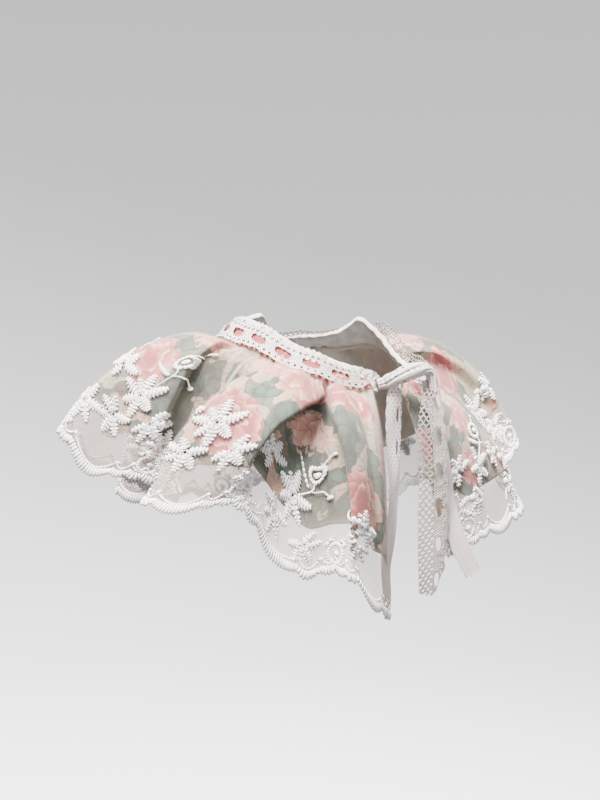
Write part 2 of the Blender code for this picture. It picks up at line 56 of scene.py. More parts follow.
VIEW_DISTANCE = 900.0
PICTURE_WIDTH, PICTURE_HEIGHT = 600, 800
MM_PER_PIXEL = 0.48
ORIGIN_PIXEL = (326, 349)
SENSOR_WIDTH = 36.0


def view_axes(azimuth, elevation):
    """Unit vectors to the right, up and back towards a camera at these angles."""
    turn, rise = np.radians([azimuth, elevation])
    back = np.array([np.sin(turn) * np.cos(rise), -np.cos(turn) * np.cos(rise), np.sin(rise)])
    right = np.array([np.cos(turn), np.sin(turn), 0.0])
    return right, np.cross(back, right), back


def stand_at(thing, axes, place):
    """Puts a camera or lamp at a place in mm, looking away from the last of its axes."""
    pose = np.eye(4)
    pose[:3, :3] = np.stack(axes, axis=1)
    pose[:3, 3] = place * MM
    thing.matrix_world = Matrix(pose.tolist())
    bpy.context.collection.objects.link(thing)


view_right, view_up, view_back = view_axes(VIEW_AZIMUTH, VIEW_ELEVATION)
looked_at = MM_PER_PIXEL * ((PICTURE_WIDTH / 2 - ORIGIN_PIXEL[0]) * view_right
                            + (ORIGIN_PIXEL[1] - PICTURE_HEIGHT / 2) * view_up)
camera = bpy.data.objects.new("camera", bpy.data.cameras.new("camera"))
stand_at(camera, (view_right, view_up, view_back), looked_at + VIEW_DISTANCE * view_back)
camera.data.sensor_fit = "HORIZONTAL"
camera.data.sensor_width = SENSOR_WIDTH
camera.data.lens = VIEW_DISTANCE / MM_PER_PIXEL * SENSOR_WIDTH / PICTURE_WIDTH
camera.data.clip_start = 0.01
bpy.context.scene.camera = camera

# Cotton flounce
# One long strip of light printed cotton, gathered into the neckline and falling in deep
# folds. Its straight lower edge ends above the net's scallops. Its wrong side is pale.
SEAM_GAP = 0.3
CLOTH = 1.0
MM_PER_DEPTH = 100.0     # a depth of 1 is about this long, from gathers to hem
COTTON_DEPTH = 0.77

# Neckline: a slanting band, wider at its lower edge. Places on it are given by w,
# the distance down the band from its middle, and by the distance out from it.
NECK_RADIUS = 48.5
BAND_OUT_PER_MM = 0.547
BAND_DOWN_PER_MM = 0.837
GATHER_TOP = -1.0
GATHER_FOOT = 7.7

NeckStation = namedtuple("NeckStation", "angle height binding_rise")
NECKLINE = [NeckStation(*row) for row in (
    (0, -12.0, 0), (18, -10.6, 0), (28, -8.6, 0), (42, -5.2, 0), (55, -1.2, 0), (66, 1.8, 0), (78, 6.2, 0),
    (92, 10.4, 0), (104, 12.4, 0), (116, 12.6, 0), (128, 11.2, 0), (140, 9.4, 0), (156, 7.0, 1.5),
    (168, 5.0, 4.0), (178, 3.5, 6.0), (186, 1.5, 3.5), (197, -1.2, -1.0), (212, -1.6, -1.2),
    (230, -1.0, -1.2), (241, -0.4, 0.6), (248, 0.6, 3.2), (255, 1.4, 5.2), (263, 1.0, 1.6), (271, -2.4, 0),
    (280, -8.6, 0), (290, -13.0, 0), (305, -14.6, 0), (330, -13.4, 0),
)]

# Each row is one line down the cape, from the gathers to the hem, in order round it.
# launch is its slope above level as it leaves the neck, and fall its slope below level
# at the hem. stand is how far a fold stands proud of its line, and crisp how sharp it is.
Fold = namedtuple("Fold", "name neck_angle hem_angle hem_radius hem_height launch fall stand crisp",
                  defaults=(0.0, 0.0))
FOLDS = [Fold(*row) for row in (
    ("front edge, right side", 26, 25, 66, -116, -62, 86, 0.6),
    ("front panel", 34, 34, 77, -106, -20, 88, 2.5),
    ("front panel fold", 45.6, 42.5, 81, -92, -12, 86, 4.2, 0.35),
    ("recess, near side", 49.4, 48, 73, -90, -58, 86),
    ("recess, floor", 51.2, 59, 75, -92, -66, 86),
    ("recess, far side", 53, 70, 78, -78, -60, 80),
    ("second lobe, near fold", 57, 77, 88, -59, -8, 66, 4.6, 0.35),
    ("second lobe", 70.5, 86, 101, -60, 5, 62, 2.5),
    ("second lobe, far fold", 85.5, 97, 110, -60, -20, 52, 4.6, 0.35),
    ("valley one, near side", 90.5, 104, 83, -62, -58, 70),
    ("valley one, far side", 95.5, 110, 81, -60, -50, 70),
    ("first lobe, near fold", 100, 115, 98, -54, 0, 60, 3, 0.2),
    ("first lobe", 110, 121.5, 113, -52, 15, 56, 2.5),
    ("first lobe, tip", 121, 127, 127, -35, 20, 58, 2),
    ("first lobe, back fold", 137, 139, 112, -54, 8, 60, 3, 0.2),
    ("valley two, near side", 141.5, 147, 86, -72, -35, 75),
    ("valley two, far side", 146.5, 152, 88, -76, -35, 78),
    ("third lobe, near fold", 151, 158, 108, -77, 0, 75, 3, 0.2),
    ("third lobe", 164, 170, 108, -83, 8, 70, 2.5),
    ("third lobe, back fold", 178, 183, 100, -84, 0, 75, 3, 0.2),
    ("valley three, near side", 183, 190, 79, -87, -40, 82),
    ("valley three, far side", 188.5, 197, 79, -87, -40, 82),
    ("fourth lobe, near fold", 193.5, 204, 94, -86, 0, 78, 3, 0.2),
    ("fourth lobe", 209, 217, 104, -84, 8, 72, 2.5),
    ("fourth lobe, back fold", 224, 230, 94, -89, 0, 78, 3, 0.2),
    ("valley four, near side", 229, 237, 78, -91, -40, 82),
    ("valley four, far side", 234, 245, 78, -90, -40, 82),
    ("fifth lobe, near fold", 239, 253, 84, -87, 0, 80, 3, 0.2),
    ("fifth lobe", 254, 268, 98, -76, 25, 75, 2.5),
    ("fifth lobe, tip", 270, 287, 117, -57, 38, 84, 2.5, 0.1),
    ("valley five, near side", 277, 292, 104, -66, 10, 72),
    ("valley five, far side", 283, 297, 93, -71, -28, 66),
    ("sixth lobe, near fold", 289, 302, 96, -76, -28, 64, 2.4, 0.1),
    ("sixth lobe, tip", 304, 309, 98, -82, -30, 64, 2),
    ("sixth lobe", 324, 329, 83, -83, -30, 78, 2),
    ("front panel, left side", 346, 343, 76, -86, -50, 82, 1.2),
    ("front edge, left side", 367, 355, 68, -93, -72, 82, 0.6),
)]
HANDLE = 0.36            # length of a curve's handles, as a share of its chord
STAND_FULL_AT = 0.14     # share of the depth where a fold is fully proud
STAND_AT_HEM = 0.45      # share of the stand that is left at the hem
PLACED_BY_HEM = 0.6      # weight of the hem's own length in where a line lies along it
PLACED_ABOVE_HEM_AT = 0.6


def column_of(field, table=FOLDS):
    """One column of a table as an array."""
    return np.array([getattr(row, field) for row in table], float)


def outward(angle):
    """Level unit vector away from the neck's middle at an angle."""
    turn = np.radians(angle)
    return np.stack([-np.sin(turn), -np.cos(turn)], axis=-1)


def point_at(angle, radius, height):
    """Point at an angle, a distance from the neck's axis and a height."""
    return np.concatenate([outward(angle) * radius[..., None], height[..., None]], axis=-1)


def unit(vectors):
    """Vectors brought to length 1."""
    return vectors / np.linalg.norm(vectors, axis=-1, keepdims=True)


def lengths_along(points):
    """Distance of each point along the line through them."""
    return np.concatenate([[0.0], np.cumsum(np.linalg.norm(np.diff(points, axis=0), axis=-1))])


def ease(start, end, value):
    """Smooth rise from 0 to 1 between start and end."""
    share = np.clip((value - start) / (end - start), 0.0, 1.0)
    return share * share * (3.0 - 2.0 * share)


def hermite(t, step, start, start_slope, end, end_slope):
    """Cubic between two values with given slopes."""
    return (start * (2 * t**3 - 3 * t**2 + 1) + end * (3 * t**2 - 2 * t**3)
            + step * start_slope * (t**3 - 2 * t**2 + t) + step * end_slope * (t**3 - t**2))


def round_the_neck(column, angle):
    """One column of NECKLINE at any angle, on a smooth closed curve."""
    angles, values = column_of("angle", NECKLINE), column_of(column, NECKLINE)
    angles = np.concatenate([angles - 360.0, angles, angles + 360.0])
    values = np.tile(values, 3)
    slopes = np.gradient(values, angles)
    angle = np.asarray(angle, float) % 360.0
    k = np.searchsorted(angles, angle, side="right") - 1
    step = angles[k + 1] - angles[k]
    t = (angle - angles[k]) / step
    return hermite(t, step, values[k], slopes[k], values[k + 1], slopes[k + 1])


def smooth_rows(rows, samples):
    """Smooth curve through the columns of a table, evenly sampled."""
    table = np.array(rows, float)
    place = np.linspace(0, len(table) - 1, samples)
    k = np.minimum(place.astype(int), len(table) - 2)
    t = (place - k)[:, None]
    slopes = np.gradient(table, axis=0)
    return hermite(t, 1.0, table[k], slopes[k], table[k + 1], slopes[k + 1])


def band_point(angle, w, out):
    """Point of the slanting neck band, w down it and a distance out, square to it."""
    angle, w, out = np.broadcast_arrays(np.asarray(angle, float), w, out)
    near = 0.5
    climb = ((round_the_neck("height", angle + near) - round_the_neck("height", angle - near))
             / (2 * np.radians(near) * NECK_RADIUS))
    sideways = -BAND_OUT_PER_MM * climb
    square = out / np.sqrt(1 + sideways**2)
    radius = NECK_RADIUS + BAND_OUT_PER_MM * w + BAND_DOWN_PER_MM * square
    height = round_the_neck("height", angle) - BAND_DOWN_PER_MM * w + BAND_OUT_PER_MM * square
    level = (outward(angle) * radius[..., None]
             + outward(angle + 90.0) * (sideways * square)[..., None])
    return np.concatenate([level, height[..., None]], axis=-1)


def cubic(t, start, near, far, end):
    """Cubic curve from start to end with two handles, and a third of its slope."""
    value = (1 - t)**3 * start + 3 * (1 - t)**2 * t * near + 3 * (1 - t) * t**2 * far + t**3 * end
    slope = (1 - t)**2 * (near - start) + 2 * (1 - t) * t * (far - near) + t**2 * (end - far)
    return value, slope


def fold_line(row, depth):
    """Radius and height down the fold lines with the given rows, gathers to hem.

    Below the gathers each line is a cubic curve, lifted off it by the fold's stand.
    Above, at a depth under 0, it lies on the neck band. The share of the neckline's
    own height that a line keeps is left out, for cape_point to put back.
    """
    def of(field):
        return column_of(field)[row]

    hem_radius, hem_height = of("hem_radius"), of("hem_height")
    launch, fall = np.radians(of("launch")), np.radians(of("fall"))
    neck_height = round_the_neck("height", of("neck_angle"))
    start_radius = NECK_RADIUS + BAND_OUT_PER_MM * GATHER_FOOT
    start_height = neck_height - BAND_DOWN_PER_MM * GATHER_FOOT
    handle = HANDLE * np.hypot(hem_radius - start_radius, hem_height - start_height)
    t = np.maximum(depth, 0.0)
    radius, run = cubic(t, start_radius, start_radius + handle * np.cos(launch),
                        hem_radius - handle * np.cos(fall), hem_radius)
    height, rise = cubic(t, start_height, start_height + handle * np.sin(launch),
                         hem_height + handle * np.sin(fall), hem_height)
    slope = np.hypot(run, rise)
    proud = ease(0.0, STAND_FULL_AT, t) * (1 - (1 - STAND_AT_HEM) * ease(0.5, 1.0, t)) * of("stand")
    above = np.minimum(depth, 0.0) * MM_PER_DEPTH
    radius = radius - proud * rise / slope + BAND_OUT_PER_MM * above
    height = height + proud * run / slope - BAND_DOWN_PER_MM * above
    return radius, height - neck_height * kept_of_neckline(t)


def kept_of_neckline(depth):
    """Share of the neckline's rise and fall that the cape keeps at a depth."""
    return (1 - np.maximum(depth, 0.0))**2


def fold_places():
    """Distance of each fold line along the cape, from the right front edge."""
    def points_at(depth):
        rows = np.arange(len(FOLDS))
        radius, height = fold_line(rows, np.full(rows.shape, depth))
        height = height + round_the_neck("height", column_of("neck_angle")) * kept_of_neckline(depth)
        angle = (1 - depth) * column_of("neck_angle") + depth * column_of("hem_angle")
        return point_at(angle, radius, height)

    at_hem, above_hem = points_at(1.0), points_at(PLACED_ABOVE_HEM_AT)
    steps = (PLACED_BY_HEM * np.linalg.norm(np.diff(at_hem, axis=0), axis=1)
             + (1 - PLACED_BY_HEM) * np.linalg.norm(np.diff(above_hem, axis=0), axis=1))
    return np.concatenate([[0.0], np.cumsum(steps)])


PLACES = fold_places()
HEM_LENGTH = PLACES[-1]


def steady_angle(column, along):
    """Angle of the cape at a place along it, never turning back between fold lines."""
    values = column_of(column)
    chords = np.diff(values) / np.diff(PLACES)
    slopes = np.concatenate([chords[:1], 2 / (1 / chords[:-1] + 1 / chords[1:]), chords[-1:]])
    k = np.clip(np.searchsorted(PLACES, along, side="right") - 1, 0, len(FOLDS) - 2)
    step = PLACES[k + 1] - PLACES[k]
    t = (along - PLACES[k]) / step
    return hermite(t, step, values[k], slopes[k], values[k + 1], slopes[k + 1])


def cape_point(along, depth):
    """Points of the cape's own surface: a curve through the fold lines at each depth.

    Radius and height are a cubic between neighbouring lines. A crisp fold shortens its
    tangent there, which draws the surface into an edge.
    """
    along = np.broadcast_to(along, depth.shape)
    last = len(FOLDS) - 1
    k = np.clip(np.searchsorted(PLACES, along, side="right") - 1, 0, last - 1)
    before, after = np.maximum(k - 1, 0), np.minimum(k + 2, last)
    step = PLACES[k + 1] - PLACES[k]
    t = (along - PLACES[k]) / step
    soft = 1 - column_of("crisp")
    lines = [fold_line(row, depth) for row in (before, k, k + 1, after)]
    across = []
    for far_back, start, end, far_on in zip(*lines):
        start_slope = soft[k] * (end - far_back) / (PLACES[k + 1] - PLACES[before])
        end_slope = soft[k + 1] * (far_on - start) / (PLACES[after] - PLACES[k])
        across.append(hermite(t, step, start, start_slope, end, end_slope))
    radius, height = across
    neck_angle, hem_angle = steady_angle("neck_angle", along), steady_angle("hem_angle", along)
    down = np.maximum(depth, 0.0)
    height = height + round_the_neck("height", neck_angle) * kept_of_neckline(depth)
    return point_at((1 - down) * neck_angle + down * hem_angle, radius, height)


GATHER_PITCH = 13.0      # along the hem, which makes it about 5 mm at the neck
GATHER_HEIGHT = 0.50
GATHER_FADE = 0.13       # depth over which the gathers die out
Crease = namedtuple("Crease", "place depth length lean width height")
CREASES = [Crease(*row) for row in (
    (30, 0.03, 40, 0.10, 2.6, 0.7), (24, 0.02, 62, -0.06, 2.2, -0.7), (40, 0.10, 50, 0.05, 1.8, 0.6),
    (14, 0.05, 70, 0.02, 2.6, 0.6), (76, 0.02, 46, -0.25, 2.4, 0.6), (108, 0.02, 36, 0.45, 3.0, 0.8),
    (118, 0.03, 44, 0.55, 2.6, -0.8), (128, 0.02, 42, 0.25, 3.2, 0.7), (138, 0.04, 50, 0.15, 2.6, -0.6),
    (134, 0.40, 40, -0.10, 4.0, 0.8), (206, 0.03, 48, -0.35, 2.8, 0.7), (216, 0.02, 40, -0.20, 2.6, -0.7),
    (226, 0.03, 46, 0.10, 3.2, 0.8), (240, 0.05, 50, 0.25, 2.6, -0.7), (228, 0.45, 34, 0.15, 4.2, 0.7),
    (600, 0.04, 44, 0.20, 3.0, -0.8), (612, 0.03, 52, -0.10, 3.0, 0.7), (700, 0.03, 44, 0.30, 2.6, 0.8),
    (708, 0.06, 48, 0.15, 2.4, -0.7), (718, 0.04, 50, -0.05, 2.6, 0.6), (400, 0.03, 44, 0.10, 3.0, -0.7),
    (470, 0.03, 46, -0.15, 3.0, 0.7), (540, 0.04, 44, 0.12, 2.8, -0.7), (330, 0.04, 50, -0.10, 3.0, 0.7),
)]

# Pressed folds: lines of (depth, place) with a raised edge on one side, +1 for the side
# of greater places, and a sunken side that it overhangs.
Pleat = namedtuple("Pleat", "line side rise sink reach")
PLEATS = [
    Pleat(((0.0, 76), (0.045, 80.5), (0.28, 96), (0.5, 105), (0.72, 109)), 1, 4.6, 9.5, 14),
    Pleat(((0.0, 46), (0.14, 44.5), (0.33, 41), (0.48, 39.5), (0.75, 38), (0.9, 37.5)), -1, 4.4, 10.5, 11),
    Pleat(((0.0, 121), (0.2, 130), (0.3, 136), (0.47, 143), (0.68, 149)), -1, 3.0, 10.5, 16),
    Pleat(((0.0, 206), (0.3, 203), (0.6, 200), (0.8, 200)), 1, 1.4, 3.0, 14),
    Pleat(((0.0, 26), (0.3, 22), (0.75, 17)), -1, 1.0, 1.6, 8),
    Pleat(((0.0, 292), (0.4, 286), (0.8, 280)), -1, 1.6, 3.0, 14),
    Pleat(((0.0, 399), (0.4, 395), (0.8, 391)), -1, 1.6, 3.0, 12),
    Pleat(((0.0, 500), (0.4, 494), (0.8, 490)), -1, 1.6, 3.0, 12),
    Pleat(((0.0, 612), (0.4, 610), (0.8, 607)), -1, 1.4, 2.6, 11),
    Pleat(((0.0, 668), (0.3, 664), (0.7, 661)), 1, 1.6, 2.6, 11),
    Pleat(((0.0, 706), (0.3, 704), (0.75, 706)), 1, 1.2, 2.0, 9),
]
PLEAT_EDGE = 0.6         # mm over which a pressed edge steps down


def pleats(along, depth):
    """Height of the pressed folds in mm: up to the edge on one side as a bell, down past
    it on the other, with a steep step between them."""
    height = np.zeros(depth.shape)
    for pleat in PLEATS:
        depths, places = zip(*pleat.line)
        beyond = (along - np.interp(depth, depths, places)) * pleat.side
        bell = np.exp(-(beyond / pleat.reach)**2)
        up = 0.5 + 0.5 * np.tanh(beyond / PLEAT_EDGE)
        strength = ease(-0.02, 0.10, depth) * (1 - ease(0.70, 0.98, depth))
        height += strength * bell * (pleat.rise * up - pleat.sink * (1 - up))
    return height


def gathers(along, depth):
    """Height of the small gathers in mm: a sine round the neck whose pitch and strength
    wander, dying out down the cloth as exp(-depth / GATHER_FADE)."""
    wave = np.sin(2 * pi * along / GATHER_PITCH + 1.9 * np.sin(along / 29.0))
    strength = 0.6 + 0.4 * np.sin(along / 17.0 + 2 * np.sin(along / 43.0))
    fade = np.exp(-np.maximum(depth, 0.0) / GATHER_FADE) * ease(-0.06, 0.03, depth)
    return GATHER_HEIGHT * wave * strength * fade


def creases(along, depth):
    """Height of the creases in mm: each a ridge or furrow with a bell section, swelling
    and dying out along its own length."""
    height = np.zeros(depth.shape)
    for crease in CREASES:
        down = (depth - crease.depth) * MM_PER_DEPTH
        aside = along - crease.place - crease.lean * down
        ends = ease(0.0, 0.35 * crease.length, down) * (1 - ease(0.5, 1.0, down / crease.length))
        height += crease.height * ends * np.exp(-(aside / crease.width)**2)
    return height


# The cape's surface on a fine grid, which every cloth and every stitch on it reads.
along_grid = np.linspace(0.0, HEM_LENGTH, 1465)
depth_grid = np.linspace(-0.10, 1.12, 245)


def surface_normals(points):
    """Unit vectors out of a surface given as a grid of points."""
    return unit(np.cross(np.gradient(points, axis=0), np.gradient(points, axis=1)))


# Lengths on the cloth, before its small folds: along it at each depth, and down it from the
# foot of the gathers. Then gathers, creases and pressed folds are added.
grid_along, grid_depth = np.meshgrid(along_grid, depth_grid, indexing="ij")
cape_points = cape_point(grid_along, grid_depth)
along_steps = np.linalg.norm(np.diff(cape_points, axis=0), axis=-1)
arc_along = np.concatenate([np.zeros((1, len(depth_grid))), np.cumsum(along_steps, axis=0)])
down_steps = np.linalg.norm(np.diff(cape_points, axis=1), axis=-1)
length_down = np.concatenate([np.zeros((len(along_grid), 1)), np.cumsum(down_steps, axis=1)], axis=1)
length_down -= length_down[:, [np.argmin(abs(depth_grid))]]
rumple = sum(bumps(grid_along, grid_depth) for bumps in (gathers, creases, pleats))
cape_points += surface_normals(cape_points) * rumple[..., None]
cape_normals = surface_normals(cape_points)
hem_column = np.argmin(abs(depth_grid - 1.0))


def read_grid(table, along, depth):
    """Value of a table over the fine grid at any place, straight between its points."""
    x = (along - along_grid[0]) / (along_grid[1] - along_grid[0])
    y = (depth - depth_grid[0]) / (depth_grid[1] - depth_grid[0])
    x, y = np.clip(x, 0, len(along_grid) - 1.001), np.clip(y, 0, len(depth_grid) - 1.001)
    i, j = x.astype(int), y.astype(int)
    s, t = x - i, y - j
    if table.ndim == 3:
        s, t = s[..., None], t[..., None]
    return ((1 - s) * (1 - t) * table[i, j] + s * (1 - t) * table[i + 1, j]
            + (1 - s) * t * table[i, j + 1] + s * t * table[i + 1, j + 1])


def on_cape(along, depth, lift):
    """Points at a place along the hem, a depth and a height over the cape's surface."""
    along, depth, lift = np.broadcast_arrays(along, depth, lift)
    return read_grid(cape_points, along, depth) + read_grid(cape_normals, along, depth) * lift[..., None]


def grid_faces(rows, columns, start=0, turned=False):
    """Quads of a grid of points, counted row by row from start."""
    row, column = np.meshgrid(np.arange(rows - 1), np.arange(columns - 1), indexing="ij")
    a = (start + row * columns + column).ravel()
    quads = np.stack([a, a + 1, a + columns + 1, a + columns], axis=1)
    return quads[:, ::-1] if turned else quads


def smooth_object(name, points, faces, material):
    """Smooth-shaded object at the origin from points in mm and a list of faces."""
    mesh = bpy.data.meshes.new(name)
    mesh.from_pydata((points.reshape(-1, 3) * MM).tolist(), [], [tuple(face) for face in faces])
    mesh.polygons.foreach_set("use_smooth", np.ones(len(mesh.polygons), bool))
    mesh.materials.append(material)
    made = bpy.data.objects.new(name, mesh)
    bpy.context.collection.objects.link(made)
    return made


def make_piece(name, points, faces, material):
    """The same, as a piece of the collar."""
    piece = smooth_object(name, points, faces, material)
    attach(piece, "root")
    return piece


def note(piece, name, values):
    """Stores numbers or vectors on a piece's points, for its material to read."""
    values = np.asarray(values, float)
    vector = values.shape[-1] == 3 and values.size == 3 * len(piece.data.vertices)
    kind, field = ("FLOAT_VECTOR", "vector") if vector else ("FLOAT", "value")
    attribute = piece.data.attributes.new(name, kind, "POINT")
    attribute.data.foreach_set(field, values.ravel())


def note_cloth(piece, along, down):
    """Stores where each point lies on the flat cloth, in mm."""
    note(piece, "cloth", np.stack([along, down, 0 * down], axis=-1))


def cloth_shell(name, outer, inner, material):
    """Closed thin cloth between two grids of points, walled round its edge."""
    rows, columns = outer.shape[:2]
    count = rows * columns
    index = np.arange(count).reshape(rows, columns)
    border = np.concatenate([index[0, :-1], index[:-1, -1], index[-1, :0:-1], index[:0:-1, 0]])
    after = np.roll(border, -1)
    rim = np.stack([after, border, border + count, after + count], axis=1)
    faces = np.concatenate([grid_faces(rows, columns),
                            grid_faces(rows, columns, count, turned=True), rim])
    points = np.concatenate([outer.reshape(-1, 3), inner.reshape(-1, 3)])
    return make_piece(name, points, faces.tolist(), material)


# The print: loose roses and leaves on cream. place and depth are the middle of a motif.
# Leaves lie in turn before and behind the others, a row of small deep roses lies along under the tape, print
# that also stands in as painted shade seen through its holes, and the hidden back repeats a few motifs.
Rose = namedtuple("Rose", "place depth radius turn tone")
ROSES = [Rose(*row) for row in (
    (31, 0.11, 12.5, 20, 1.35), (31, 0.62, 13.0, 150, 0.85), (8, 0.33, 9, 80, 0.75),
    (56, 0.02, 7, 100, 0.90), (78, 0.30, 9, 300, 0.10), (104, 0.16, 12, 30, 0.55),
    (122, 0.10, 10, 250, 0.40), (127, 0.55, 15.5, 60, 0.95), (166, 0.62, 12, 0, 0.60),
    (214, 0.10, 9, 150, 0.35), (230, 0.43, 14, 10, 0.80), (266, 0.25, 12, 90, 0.60),
    (590, 0.14, 10, 30, 0.20), (618, 0.36, 12, 220, 1.1), (600, 0.70, 8, 320, 0.40),
    (650, 0.22, 8, 60, 0.80), (672, 0.55, 11, 130, 0.70), (701, 0.22, 10, 260, 0.55),
    (706, 0.56, 10, 15, 0.85), (727, 0.30, 7, 100, 0.70),
)]
Leaf = namedtuple("Leaf", "place depth length width turn tone")
LEAVES = [Leaf(*row) for row in (
    (37, 0.33, 26, 8, 80, 0.15), (33, 0.40, 20, 6, 62, 0.35), (42, 0.74, 15, 7, 160, 0.30),
    (17, 0.52, 18, 7, 100, 0.30), (20, 0.70, 18, 7, 60, 0.45), (48, 0.66, 20, 8, 240, 0.20),
    (58, 0.12, 22, 8, 95, 0.10), (64, 0.20, 18, 8, 35, 0.25), (70, 0.44, 20, 9, 60, 0.10),
    (62, 0.48, 20, 9, 120, 0.30), (54, 0.52, 18, 9, 20, 0.15), (60, 0.60, 22, 9, 80, 0.40),
    (72, 0.60, 18, 8, 150, 0.20), (66, 0.70, 16, 8, 270, 0.50), (82, 0.55, 18, 7, 200, 0.60),
    (96, 0.38, 24, 8, 75, 0.45), (104, 0.42, 26, 8, 62, 0.60), (108, 0.50, 26, 9, 80, 0.15),
    (113, 0.62, 24, 9, 95, 0.10), (103, 0.66, 20, 8, 110, 0.35), (118, 0.30, 18, 7, 50, 0.75),
    (140, 0.28, 18, 7, 110, 0.30), (148, 0.40, 22, 9, 80, 0.20), (152, 0.55, 22, 9, 60, 0.25),
    (142, 0.70, 18, 8, 120, 0.45), (176, 0.45, 22, 9, 90, 0.15), (184, 0.60, 22, 9, 70, 0.20),
    (192, 0.32, 26, 12, 80, 0.05), (200, 0.46, 28, 13, 60, 0.00), (208, 0.52, 24, 11, 100, 0.10),
    (196, 0.60, 28, 13, 80, 0.00), (190, 0.70, 22, 11, 110, 0.10), (212, 0.62, 20, 9, 30, 0.15),
    (216, 0.30, 20, 9, 130, 0.25), (224, 0.24, 24, 10, 20, 0.20), (214, 0.20, 16, 8, 60, 0.60),
    (244, 0.42, 22, 9, 150, 0.60), (238, 0.56, 20, 8, 45, 0.70), (250, 0.58, 20, 9, 100, 0.35),
    (602, 0.22, 24, 10, 70, 0.30), (610, 0.14, 18, 9, 140, 0.80), (628, 0.30, 20, 8, 60, 0.25),
    (616, 0.52, 20, 9, 100, 0.20), (634, 0.50, 20, 9, 20, 0.35), (594, 0.46, 20, 9, 120, 0.30),
    (690, 0.36, 22, 9, 100, 0.15), (696, 0.44, 20, 9, 40, 0.25), (716, 0.42, 22, 9, 70, 0.15),
    (714, 0.62, 20, 9, 95, 0.15), (722, 0.54, 18, 8, 20, 0.25), (728, 0.10, 26, 9, 85, 0.10),
    (726, 0.20, 22, 8, 75, 0.20), (710, 0.30, 16, 7, 200, 0.70), (684, 0.66, 20, 9, 60, 0.35),
    (112, 0.20, 18, 8, 20, 0.10), (120, 0.36, 20, 8, 150, 0.55), (134, 0.20, 16, 7, 70, 0.65),
    (126, 0.74, 22, 9, 10, 0.20), (136, 0.72, 20, 8, 60, 0.30), (202, 0.34, 24, 11, 95, 0.05),
    (28, 0.28, 14, 6, 120, 0.60), (24, 0.44, 18, 7, 80, 0.20), (40, 0.50, 20, 7, 95, 0.15),
    (228, 0.60, 22, 9, 60, 0.20), (236, 0.24, 18, 8, 100, 0.35), (206, 0.22, 18, 8, 60, 0.20),
    (202, 0.72, 20, 9, 20, 0.30), (246, 0.26, 18, 8, 60, 0.30), (84, 0.40, 20, 9, 75, 0.20),
    (90, 0.54, 20, 9, 85, 0.15), (76, 0.48, 18, 8, 110, 0.35), (88, 0.24, 18, 8, 60, 0.25),
    (622, 0.18, 18, 8, 30, 0.20), (638, 0.36, 20, 8, 80, 0.20), (698, 0.66, 18, 8, 30, 0.30),
    (58, 0.80, 22, 10, 20, 0.25), (70, 0.79, 20, 9, 100, 0.15), (46, 0.80, 20, 9, 60, 0.35),
    (36, 0.79, 18, 8, 100, 0.15), (24, 0.80, 18, 8, 30, 0.30), (12, 0.62, 18, 8, 70, 0.20),
    (8, 0.80, 16, 7, 60, 0.25), (100, 0.80, 22, 9, 70, 0.20), (118, 0.80, 20, 9, 30, 0.15),
    (146, 0.80, 22, 9, 60, 0.20), (186, 0.80, 22, 10, 30, 0.15), (212, 0.80, 22, 10, 80, 0.25),
    (240, 0.76, 22, 10, 40, 0.15), (172, 0.28, 20, 9, 60, 0.15), (178, 0.18, 18, 8, 100, 0.25),
    (604, 0.76, 20, 9, 50, 0.15), (628, 0.74, 20, 9, 90, 0.20), (650, 0.72, 20, 9, 30, 0.25),
    (656, 0.44, 18, 8, 70, 0.15), (606, 0.10, 20, 9, 40, 0.20), (618, 0.08, 18, 8, 80, 0.30),
    (640, 0.14, 18, 8, 60, 0.15), (660, 0.12, 18, 8, 90, 0.20), (674, 0.16, 18, 8, 60, 0.15),
    (596, 0.30, 20, 9, 60, 0.15), (644, 0.52, 18, 8, 40, 0.20), (688, 0.78, 20, 9, 80, 0.20),
    (708, 0.76, 20, 8, 40, 0.15), (680, 0.30, 20, 9, 60, 0.20), (668, 0.36, 18, 8, 100, 0.40),
    (712, 0.16, 16, 7, 40, 0.20),
)]
# Deep-toned roses under the tape: print, and painted shade for what shows through its holes.
ROSES += [Rose(place, -0.075, 7.0, 8 * place, 2.2) for place in np.arange(6.0, HEM_LENGTH, 21.0)]
HIDDEN_FROM, HIDDEN_TO, HIDDEN_PITCH = 296.0, 584.0, 36.0
for number, place in enumerate(np.arange(HIDDEN_FROM, HIDDEN_TO, HIDDEN_PITCH)):
    shift, turn = 0.16 * (number % 2), 77.0 * number
    ROSES += [Rose(place, 0.18 + shift, 12, turn, 0.5 + 0.3 * (number % 2)),
              Rose(place + 14, 0.60 - shift, 12, turn + 60, 0.65)]
    LEAVES += [Leaf(place + 14, 0.14, 24, 10, 80 + turn, 0.15), Leaf(place + 20, 0.30, 24, 10, 60, 0.25),
               Leaf(place - 12, 0.42, 22, 9, 100, 0.20), Leaf(place + 2, 0.52, 24, 10, 40, 0.15),
               Leaf(place - 4, 0.68, 22, 9, 120 + turn, 0.35), Leaf(place + 26, 0.50, 20, 9, 75, 0.60)]
COTTON_TOP = (GATHER_TOP - GATHER_FOOT) / MM_PER_DEPTH
COTTON_COLUMNS, COTTON_ROWS = 760, 62
COTTON_OUTSIDE, COTTON_INSIDE = -0.10, -0.80
HEM_LIFT, LIFT_BEGINS, LIFT_ENDS = 0.05, (606, 640), (700, 728)


def motif_axes(motif, along, depth):
    """Distances in mm across and down the cloth from a motif's middle, turned with it."""
    row = int(np.argmin(abs(depth_grid - motif.depth)))
    here = np.interp(motif.place, along_grid, arc_along[:, row])
    across = np.interp(along[:, 0], along_grid, arc_along[:, row])[:, None] - here
    down = read_grid(length_down, along, depth) - read_grid(
        length_down, np.array(motif.place, float), np.array(motif.depth))
    turn = np.radians(motif.turn)
    return across * np.cos(turn) + down * np.sin(turn), down * np.cos(turn) - across * np.sin(turn)


def in_rose(rose, x, y):
    """Place in a rose in its radii, and mm inside its edge."""
    return x / rose.radius, y / rose.radius, rose.radius - np.hypot(x, y)


